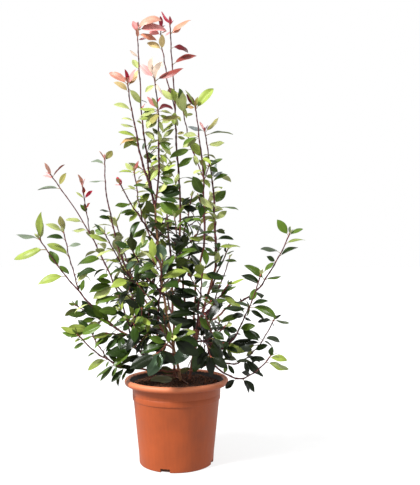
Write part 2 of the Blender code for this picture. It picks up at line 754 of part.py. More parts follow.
def make_soil(material):
    """The potting soil that fills the pot to a little below its rim, slightly lower at its edge."""
    inset = WALL + SEAT_GAP
    low = FLOOR + SEAT_GAP
    shoulder = SOIL_LEVEL - SOIL_EDGE_DROP
    rise = (shoulder - COLLAR_FOOT) / (POT_HEIGHT - BEAD_HEIGHT - WALL - COLLAR_FOOT)
    top_radius = WALL_TOP_RADIUS + (COLLAR_RADIUS - WALL_TOP_RADIUS) * rise - inset
    profile = [
        (0, low),
        (FOOT_RADIUS - inset, low),
        (HEEL_RADIUS - inset, HEEL_HEIGHT),
        (WALL_TOP_RADIUS - inset, COLLAR_FOOT),
        (top_radius, shoulder),
        (top_radius - SOIL_EDGE_WIDTH, SOIL_LEVEL),
        (0, SOIL_LEVEL),
    ]
    return turned("soil", profile, POT_SIDES, material)


def make_limbs(limbs, material):
    """One object for each trunk stem and bough."""
    for name, path in limbs.items():
        limb = solid_object(name, path.tube(), material)
        limb.data.shade_smooth()
        limb.data.set_sharp_from_angle(angle=LIMB_CREASE)


def make_masses(limbs, obstacles, material):
    """One object for each mass of foliage. All the twigs stand before the first leaf grows."""
    twigs = {mass.name: main_twigs(mass, limbs) for mass in MASSES}
    for mass in MASSES:
        add_twigs(mass, twigs[mass.name], obstacles)
    for mass in MASSES:
        spurs = spur_twigs(mass, twigs[mass.name]["main"], obstacles)
        add_twigs(mass, spurs, obstacles)
        twigs[mass.name].update(spurs)
    for mass in MASSES:
        tubes = [path.tube() for path in twigs[mass.name].values()]
        leaves = grow_leaves(mass, twigs[mass.name], obstacles)
        fuse(mass.name, tubes + [leaf.solid() for leaf in leaves], material)


def main():
    for old in list(bpy.data.objects):
        bpy.data.objects.remove(old)
    pot = make_pot(principled("terracotta_plastic", TERRACOTTA))
    make_soil(principled("potting_soil", PEAT))
    pot_corners = [corner.co.copy() for corner in pot.data.vertices]
    pot_faces = [tuple(face.vertices) for face in pot.data.polygons]
    obstacles = [Obstacle("pot", "", (pot_corners, pot_faces))]

    limbs = limb_paths()
    make_limbs(limbs, principled("young_bark", BARK))
    for name, path in limbs.items():
        obstacles.append(Obstacle(name, "", path.tube()))
    make_masses(limbs, obstacles, principled("leaves", FOLIAGE))


main()
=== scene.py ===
"""A red-tipped photinia shrub in its terracotta-coloured nursery pot, with its full foliage.

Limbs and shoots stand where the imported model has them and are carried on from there: bark with
its relief, finer twigs, petioles, buds and whole leaves, dealt out by tint. Places are written as
they look from the camera's standpoint: across and up on the upright plane through the pot's axis,
and depth behind that plane. Lengths are in metres, and in the three tables of leaves in whole
millimetres. +Z is up, and the camera looks along +Y at the front.
"""

import json
import math
import random
from dataclasses import dataclass

import bmesh
import bpy
import numpy as np
from mathutils import Matrix, Vector, noise
from mathutils.bvhtree import BVHTree

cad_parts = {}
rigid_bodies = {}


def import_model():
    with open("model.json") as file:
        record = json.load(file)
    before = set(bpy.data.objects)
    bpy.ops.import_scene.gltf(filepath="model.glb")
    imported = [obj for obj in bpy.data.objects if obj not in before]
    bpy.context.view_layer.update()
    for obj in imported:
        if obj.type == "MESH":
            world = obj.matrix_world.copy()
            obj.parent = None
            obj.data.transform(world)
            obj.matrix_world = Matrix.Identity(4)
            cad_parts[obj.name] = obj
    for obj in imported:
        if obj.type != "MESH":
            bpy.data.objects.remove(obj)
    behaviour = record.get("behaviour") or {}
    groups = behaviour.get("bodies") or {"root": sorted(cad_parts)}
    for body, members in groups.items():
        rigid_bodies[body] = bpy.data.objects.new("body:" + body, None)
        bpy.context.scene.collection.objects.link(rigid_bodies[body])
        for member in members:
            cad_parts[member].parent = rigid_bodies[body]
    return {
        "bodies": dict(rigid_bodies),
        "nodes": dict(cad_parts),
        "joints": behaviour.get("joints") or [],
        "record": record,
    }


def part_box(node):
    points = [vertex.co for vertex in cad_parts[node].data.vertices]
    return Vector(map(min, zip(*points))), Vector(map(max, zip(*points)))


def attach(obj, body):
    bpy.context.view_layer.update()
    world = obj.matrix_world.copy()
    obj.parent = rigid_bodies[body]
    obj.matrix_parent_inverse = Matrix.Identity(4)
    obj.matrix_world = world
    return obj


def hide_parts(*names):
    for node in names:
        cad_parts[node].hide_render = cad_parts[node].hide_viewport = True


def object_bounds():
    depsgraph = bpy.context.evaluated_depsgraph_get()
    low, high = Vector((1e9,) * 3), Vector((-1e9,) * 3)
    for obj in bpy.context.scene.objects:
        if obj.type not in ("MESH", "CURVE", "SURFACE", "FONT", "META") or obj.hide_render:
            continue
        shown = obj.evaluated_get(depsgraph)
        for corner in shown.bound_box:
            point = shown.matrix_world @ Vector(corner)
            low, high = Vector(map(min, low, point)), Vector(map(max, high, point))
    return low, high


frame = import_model()
CAD_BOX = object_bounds()
POT_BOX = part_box("pot")

UP = Vector((0, 0, 1))
ACROSS = Vector((1, 0, 0))
NEARER = Vector((0, -1, 0))
NEAR_ACROSS = 0.8
GOLDEN_ANGLE = math.radians(137.5)
PER_METRE = 1000

# Standpoint from which the places were judged, which is the camera's
VIEW_DISTANCE = 1.25
EYE_HEIGHT = 0.418
EYE_ACROSS = 0.071
LENS = 43.61
FRAME_RISE = 0.0447

# Wood
WOOD_SHARE = 0.80
FLARE = 1.20
FLARE_LENGTH = 0.020
COLLAR_GAIN = 0.45
COLLAR_LENGTH = 0.006
TWIG_TIP_RADIUS = 0.0010
FORK_RADIUS = 0.0014
THINNER = 0.85
LIMB_STEP = 0.0025
LIMB_SIDES = 14
TWIG_STEP = 0.003
TWIG_SIDES = 8
SPUR_SIDES = 6
LIMB_STRAY = 0.0012
TWIG_STRAY = 0.0011
KINK = 0.0005
LEAST_STEPS = 4
SLOW_WAVES = 4
QUICK_WAVES = 11
QUICK_SHARE = 0.5
NODE_SWELL = 0.35
NODE_REACH = 0.0030
BUD_RADII = (0.0009, 0.0009, 0.0021)
TIP_BUD_RADII = (0.0016, 0.0016, 0.0042)
BUD_FINENESS = 1
BUD_NARROWING = 0.55
BUD_LEAN = 0.6
BUD_SEAT = 0.5
SCAR_SPACING = 0.019
SCAR_STRAY = (0.3, 0.9)
SCAR_HEIGHT = 0.20
SCAR_LENGTH = 0.0022
SCAR_BREADTH = 0.55
BARK_RIDGES = 0.035
RIDGE_COUNTS = (2, 3, 5)
RIDGE_PITCH = (30, 90)

# Spurs: the source's, and as many finer ones between
SPUR_RADIUS = 0.0012
SPUR_TIP_RADIUS = 0.0008
SPUR_LENGTH = 0.058
SPUR_STRETCH = (0.70, 1.15)
SPUR_BEND = 0.175
SPUR_FIRST = 0.18
SPUR_SPAN = 0.68
SPUR_STRAY = (0.20, 0.80)
SPUR_ALONG = 0.75
SPUR_RISE = 0.15
SPUR_GAIN = 2
SPUR_CHECK = 4
FORK_LEAFLESS = 0.20
SPUR_LEAFLESS = 0.25

# Stand of the leaves. At a tip they are young: close together, small and upright
LEAF_SHARE = 0.86
SPACING_SHARE = 0.60
TIP_INSET = 0.002
TIP_SPACING = 0.20
SPACING_GAIN = 0.16
YOUNG_LEAVES = 6
AZIMUTH_STRAY = 0.35
YOUNG_TILT, TILT_GAIN, TILT_STRAY = 26, 30, (-12, 14)
YOUNG_SIZE, SIZE_GAIN, SIZE_STRAY = 0.72, 0.28, (0.66, 1.16)
YOUNG_DROOP, DROOP_GAIN, DROOP_STRAY = 22, 50, (-14, 24)
ROLL_STRAY = (-38, 38)
UPWARD = 1.6
TIP_LEAVES = 3
TIP_TILT = (8, 26)
TIP_SIZE = (0.010, 0.019)
TIP_DROOP = 0.3
USUAL_LEAF = 0.056
NUDGES = [math.radians(turn) for turn in (0, 24, -24, 48, -48, 75, -75, 105, -105, 140)]
SOIL_LEVEL = 0.171
SOIL_CLEARANCE = 0.002
REACH_SLACK = 0.003
MOST_OBSTACLES = 8192
COARSE_STEP = 3
COARSE_SIDES = 3

# Blade of a leaf
BLADE_ROWS = 24
BLADE_ALONG = np.linspace(0, 1, BLADE_ROWS + 1)
BLADE_ACROSS = np.array((-1, -0.66, -0.30, 0, 0.30, 0.66, 1))
MIDRIB = len(BLADE_ACROSS) // 2
MIDDLE = np.array((0.55,))
SHEET_ROWS = 4
BASE_POWER = 0.90
END_POWER = 0.98
LEAST_WIDTH = 0.02
TOOTH_DEPTH = 0.035
PETIOLE_SHARE = 0.15
PETIOLE_RADIUS = 0.00075
PETIOLE_REACH = 1.3
PETIOLE_TAPER = np.array((1.35, 1.0, 0.9, 0.6))
PETIOLE_SIDES = 5
BLADE_THICKNESS = 0.00045
MIDRIB_GROOVE = 0.00025
SLENDERNESS = (0.32, 0.42)
YOUNG_SLENDERNESS = (0.28, 0.36)
DRAWN_SLENDERNESS = (0.36, 0.44)
BROAD_SLENDERNESS = (0.44, 0.50)
BROAD_FACE = 75
FOLD = (0.05, 0.55)
CURL = (0.05, 0.50)
WAVE = (0.00, 0.10)
WAVES = (1.0, 2.2)
TWIST = (-0.45, 0.45)
SICKLE = (-0.07, 0.07)


@dataclass
class Tint:
    """Display colours of a leaf's top and underside, the top's roughness, and how light both are."""

    top: tuple
    under: tuple
    roughness: float = 0.31
    light: float = 0.42


TINTS = {
    "deep": Tint((24, 36, 10), (62, 76, 36)),
    "dark": Tint((46, 70, 18), (88, 102, 46)),
    "mid": Tint((86, 112, 34), (126, 140, 62), 0.31, 0.50),
    "fresh": Tint((140, 156, 66), (170, 178, 98), 0.40, 0.58),
    "lime": Tint((178, 188, 116), (196, 200, 140), 0.46, 0.62),
    "olive": Tint((104, 100, 44), (130, 122, 70), 0.50),
    "bronze": Tint((176, 140, 88), (192, 158, 108), 0.40, 0.60),
    "straw": Tint((204, 180, 124), (208, 188, 138), 0.42, 0.64),
    "khaki": Tint((156, 150, 82), (176, 168, 104), 0.42, 0.52),
    "copper": Tint((204, 134, 106), (208, 146, 118), 0.40, 0.58),
    "blush": Tint((214, 154, 132), (220, 168, 146), 0.40, 0.60),
    "tan": Tint((204, 158, 108), (206, 168, 122), 0.42, 0.62),
    "salmon": Tint((214, 146, 124), (216, 158, 136), 0.40, 0.62),
    "pink": Tint((228, 150, 146), (228, 164, 156), 0.40, 0.66),
    "pale": Tint((236, 212, 192), (232, 212, 196), 0.45, 0.70),
    "red": Tint((186, 48, 70), (196, 84, 92), 0.36, 0.55),
    "maroon": Tint((100, 26, 32), (146, 60, 58), 0.28, 0.56),
    "rust": Tint((146, 60, 50), (168, 88, 72), 0.34, 0.50),
    "sage": Tint((128, 142, 118), (134, 146, 118), 0.42, 0.46),
    "frost": Tint((176, 186, 186), (160, 170, 160), 0.42, 0.55),
    "slate": Tint((72, 84, 62), (96, 108, 80), 0.30),
    # Painted reflection: the sheen tint's pale blue-green top stands in for the sky's reflection on glossy
    # leaves; its low roughness is their own gloss
    "sheen": Tint((92, 116, 88), (106, 124, 84), 0.24, 0.44),
}
YOUNG_TINTS = {"red", "pink", "maroon"}
RANKS = ("deep", "dark", "mid", "fresh", "lime")
RANK_HEIGHTS = (0.20, 0.36, 0.43, 0.49, 0.55, 0.61)
RANK_LEVELS = (0.2, 0.7, 1.4, 2.3, 3.3, 4.0)
RANK_STRAY = (-1.5, 1.7)
TIP_RANK = 1.4
TIP_REACH = 0.05
# Painted light: far from the axis, leaves on the left, where the key light falls, take lighter tints, and
# those on the right none
LIT_SIDE_RANKS = (1.9, 0.0)
LIT_SIDE_DISTANCE = 0.12
# Painted shade: near the axis in the lower body, where the crown's shade falls, leaves take darker tints
INNER_SHADE_RANK = -1.2
INNER_SHADE_DISTANCE = 0.075
INNER_SHADE_HEIGHT = 0.50


@dataclass
class Limb:
    """A leafless stem or bough. One with no parent rises from the soil at its foot."""

    name: str
    parent: str
    at: float
    tip: tuple
    radius: float
    tip_radius: float
    bend: float = 0.0
    swing: float = 0.0
    foot: tuple = None
    bark: str = "red"


@dataclass
class Fork:
    """A second shoot that leaves the main one of its mass."""

    at: float
    tip: tuple
    bend: float = 0.2
    swing: float = 0.0


@dataclass
class Mass:
    """One mass of foliage on a limb. Leaves nearer its tips than young take the tip's tints."""

    name: str
    parent: str
    at: float
    tip: tuple
    leaf: float = USUAL_LEAF
    spacing: float = 0.025
    leafless: float = 0.12
    bare: tuple = (0.0, 0.0)
    spurs: int = 0
    bend: float = 0.0
    swing: float = 0.0
    forks: tuple = ()
    young: float = 0.03
    tints: tuple = ("lime", "fresh")
    fine_spurs: int = 0


LIMBS = (
    Limb("stem_left", "", 0, (-0.046, 0.545, -0.010), 0.0037, 0.0025, swing=-0.10,
         foot=(0.012, 0.160, 0.000), bark="tan"),
    Limb("stem_right", "", 0, (0.083, 0.410, 0.010), 0.0038, 0.0027, bend=0.10, swing=-0.12,
         foot=(0.026, 0.160, 0.014)),
    Limb("stem_back", "", 0, (-0.010, 0.400, 0.075), 0.0036, 0.0024, bend=0.10,
         foot=(-0.006, 0.160, 0.034)),
    Limb("bough_left_out", "stem_left", 0.17, (-0.122, 0.277, -0.018), 0.0028, 0.0022, bend=0.15),
    Limb("bough_left_low", "stem_left", 0.08, (-0.080, 0.196, -0.042), 0.0026, 0.0021, bend=0.10),
    Limb("bough_left_mid", "stem_left", 0.32, (-0.094, 0.378, 0.030), 0.0026, 0.0021, bend=0.25),
    Limb("bough_right_low", "stem_right", 0.22, (0.092, 0.236, -0.022), 0.0027, 0.0021, bend=0.25),
    Limb("bough_right_rim", "stem_right", 0.12, (0.078, 0.206, -0.054), 0.0025, 0.0020, bend=-0.10),
    Limb("bough_right_out", "stem_right", 0.50, (0.116, 0.334, 0.032), 0.0027, 0.0022, bend=0.20),
    Limb("bough_right_in", "stem_right", 0.36, (0.058, 0.455, -0.026), 0.0028, 0.0022, swing=-0.20),
    Limb("bough_centre", "stem_right", 0.26, (0.008, 0.540, 0.020), 0.0029, 0.0022, swing=-0.12),
    Limb("bough_front_left", "stem_left", 0.22, (-0.040, 0.300, -0.085), 0.0028, 0.0022, bend=0.30),
    Limb("bough_front_right", "stem_right", 0.24, (0.042, 0.280, -0.080), 0.0027, 0.0022, bend=0.30),
    Limb("bough_back_left", "stem_back", 0.32, (-0.078, 0.315, 0.125), 0.0028, 0.0022, bend=0.30),
    Limb("bough_back_right", "stem_back", 0.26, (0.060, 0.300, 0.130), 0.0028, 0.0022, bend=0.30),
)

MASSES = (
    # Tall shoots of the top
    Mass("crown_left", "stem_left", 1.0, (-0.104, 0.802, -0.030), swing=-0.10, leafless=0.16,
         young=0.07, fine_spurs=2, tints=("salmon", "bronze", "pink")),
    Mass("crown_left_tall", "stem_left", 0.95, (-0.083, 0.920, 0.018), swing=-0.08,
         leafless=0.20, bare=(0.50, 0.70), young=0.10, fine_spurs=2,
         tints=("pink", "tan", "red")),
    Mass("crown_inner_left", "stem_left", 0.98, (-0.049, 0.826, -0.058), swing=0.14,
         leafless=0.22, bare=(0.55, 0.68), young=0.08, fine_spurs=2, tints=("pale", "pink", "lime")),
    Mass("crown_centre", "bough_centre", 1.0, (-0.014, 0.926, -0.012), leafless=0.10,
         bare=(0.60, 0.68), forks=(Fork(0.54, (-0.034, 0.922, 0.028), 0.0, -0.12),),
         young=0.16, fine_spurs=2, tints=("red", "salmon", "tan", "rust")),
    Mass("crown_inner_right", "bough_right_in", 1.0, (0.040, 0.750, -0.052), swing=0.10,
         leafless=0.14, forks=(Fork(0.50, (0.012, 0.758, 0.030), 0.0, -0.15),),
         young=0.05, fine_spurs=2, tints=("bronze", "fresh")),
    Mass("crown_right", "stem_right", 1.0, (0.060, 0.700, 0.022), swing=0.10, leafless=0.05,
         young=0.03, tints=("red", "bronze")),
    # Side shoots on the left
    Mass("left_outer", "bough_left_out", 1.0, (-0.291, 0.470, -0.040), bend=0.25, leafless=0.16,
         forks=(Fork(0.52, (-0.240, 0.484, 0.018), 0.15),), young=0.12),
    Mass("left_tall", "bough_left_out", 0.80, (-0.268, 0.608, 0.040), bend=0.05, swing=0.26,
         leafless=0.16, bare=(0.66, 0.84), forks=(Fork(0.64, (-0.200, 0.582, -0.012), 0.1),),
         young=0.06, tints=("pink", "salmon", "lime")),
    Mass("left_side", "bough_left_out", 0.92, (-0.214, 0.330, 0.034), leafless=0.20,
         fine_spurs=1, tints=("mid", "dark")),
    Mass("left_low", "bough_left_low", 1.0, (-0.210, 0.268, -0.078), bend=0.50, leafless=0.22,
         fine_spurs=1, tints=("mid", "dark"), forks=(Fork(0.50, (-0.184, 0.278, -0.036), 0.3),)),
    Mass("left_inner", "bough_left_mid", 1.0, (-0.153, 0.640, 0.062), swing=-0.22, leafless=0.10,
         young=0.04, tints=("pink", "bronze")),
    Mass("left_front", "bough_left_mid", 0.70, (-0.152, 0.482, -0.050), bend=0.15, leafless=0.20),
    Mass("left_middle", "bough_left_mid", 0.88, (-0.128, 0.505, 0.108), bend=0.15, leafless=0.20),
    Mass("left_upper", "stem_left", 0.80, (-0.120, 0.588, -0.062), bend=0.20, leafless=0.25,
         forks=(Fork(0.42, (-0.090, 0.612, -0.022), 0.1),), young=0.03, tints=("bronze", "lime")),
    # Side shoots on the right
    Mass("right_outer", "bough_right_out", 1.0, (0.240, 0.482, 0.024), bend=0.75, leafless=0.14),
    Mass("right_middle", "bough_right_low", 1.0, (0.178, 0.393, -0.070), bend=0.65, leafless=0.20,
         spurs=1),
    Mass("right_low", "bough_right_low", 0.70, (0.206, 0.298, 0.050), bend=1.20, leafless=0.22,
         tints=("mid", "fresh")),
    Mass("right_rim", "bough_right_rim", 1.0, (0.199, 0.222, -0.060), bend=1.25, leafless=0.30,
         tints=("mid", "fresh")),
    Mass("right_upper", "stem_right", 0.78, (0.108, 0.448, 0.030), leafless=0.20),
    # The dense body round the stems
    Mass("inner_left", "stem_left", 0.50, (-0.098, 0.455, -0.058), bend=0.25, leafless=0.18, spurs=2,
         leaf=0.068),
    Mass("inner_front", "bough_front_left", 1.0, (-0.030, 0.425, -0.120), leafless=0.10, spurs=3,
         leaf=0.072),
    Mass("inner_right", "bough_front_right", 1.0, (0.056, 0.405, -0.115), leafless=0.10, spurs=3,
         leaf=0.072),
    Mass("inner_centre", "bough_centre", 0.55, (-0.004, 0.515, -0.060), bend=0.15, leafless=0.15,
         spurs=2, leaf=0.068),
    Mass("inner_high", "bough_centre", 0.72, (0.032, 0.560, 0.052), bend=0.15, leafless=0.15,
         spurs=1, leaf=0.064),
    Mass("low_front", "bough_front_left", 0.55, (-0.010, 0.262, -0.150), bend=0.25, leafless=0.15,
         spurs=1, leaf=0.070),
    Mass("low_left", "bough_front_left", 0.75, (-0.104, 0.300, -0.110), bend=0.30, leafless=0.15,
         spurs=2, leaf=0.068),
    Mass("low_right", "bough_front_right", 0.70, (0.102, 0.285, -0.130), bend=0.30, leafless=0.15,
         spurs=2, leaf=0.068),
    Mass("body_left", "bough_left_mid", 0.45, (-0.122, 0.366, -0.045), bend=0.20, leafless=0.15,
         spurs=1, leaf=0.066, spacing=0.022),
    Mass("body_left_low", "bough_left_out", 0.50, (-0.118, 0.316, -0.070), bend=0.20, leafless=0.15,
         spurs=1, leaf=0.066, spacing=0.022),
    Mass("body_right", "stem_right", 0.60, (0.108, 0.372, -0.052), bend=0.20, leafless=0.15,
         leaf=0.060, spacing=0.030, tints=("mid", "fresh")),
    Mass("body_right_low", "bough_right_low", 0.50, (0.090, 0.292, -0.030), bend=0.20,
         leafless=0.15, spurs=1, leaf=0.068, spacing=0.022),
    Mass("body_left_high", "stem_left", 0.66, (-0.070, 0.520, 0.045), bend=0.20, leafless=0.15,
         spurs=1, leaf=0.064, spacing=0.022),
    Mass("body_back", "stem_back", 0.55, (-0.040, 0.450, 0.150), bend=0.20, leafless=0.15,
         spurs=1, leaf=0.064, spacing=0.022),
    Mass("rim_left", "bough_left_low", 0.45, (-0.088, 0.244, -0.066), bend=0.20, leafless=0.15,
         spurs=1, leaf=0.062, spacing=0.020),
    Mass("rim_right", "bough_right_low", 0.25, (0.078, 0.240, 0.048), bend=0.25, leafless=0.15,
         spurs=1, leaf=0.064, spacing=0.020),
    # The back
    Mass("back_tall", "stem_back", 1.0, (-0.030, 0.640, 0.120), leafless=0.10, spurs=2, leaf=0.064),
    Mass("back_right_tall", "stem_back", 0.80, (0.070, 0.560, 0.130), bend=0.20, leafless=0.15,
         spurs=2, leaf=0.064),
    Mass("back_left", "bough_back_left", 1.0, (-0.128, 0.450, 0.190), bend=0.25, leafless=0.10,
         spurs=2, leaf=0.068),
    Mass("back_left_low", "bough_back_left", 0.70, (-0.060, 0.320, 0.225), bend=0.30, leafless=0.15,
         spurs=2, leaf=0.068),
    Mass("back_right", "bough_back_right", 1.0, (0.112, 0.430, 0.190), bend=0.25, leafless=0.10,
         spurs=2, leaf=0.068),
    Mass("back_right_low", "bough_back_right", 0.70, (0.108, 0.290, 0.205), bend=0.30,
         leafless=0.15, spurs=2, leaf=0.068),
)

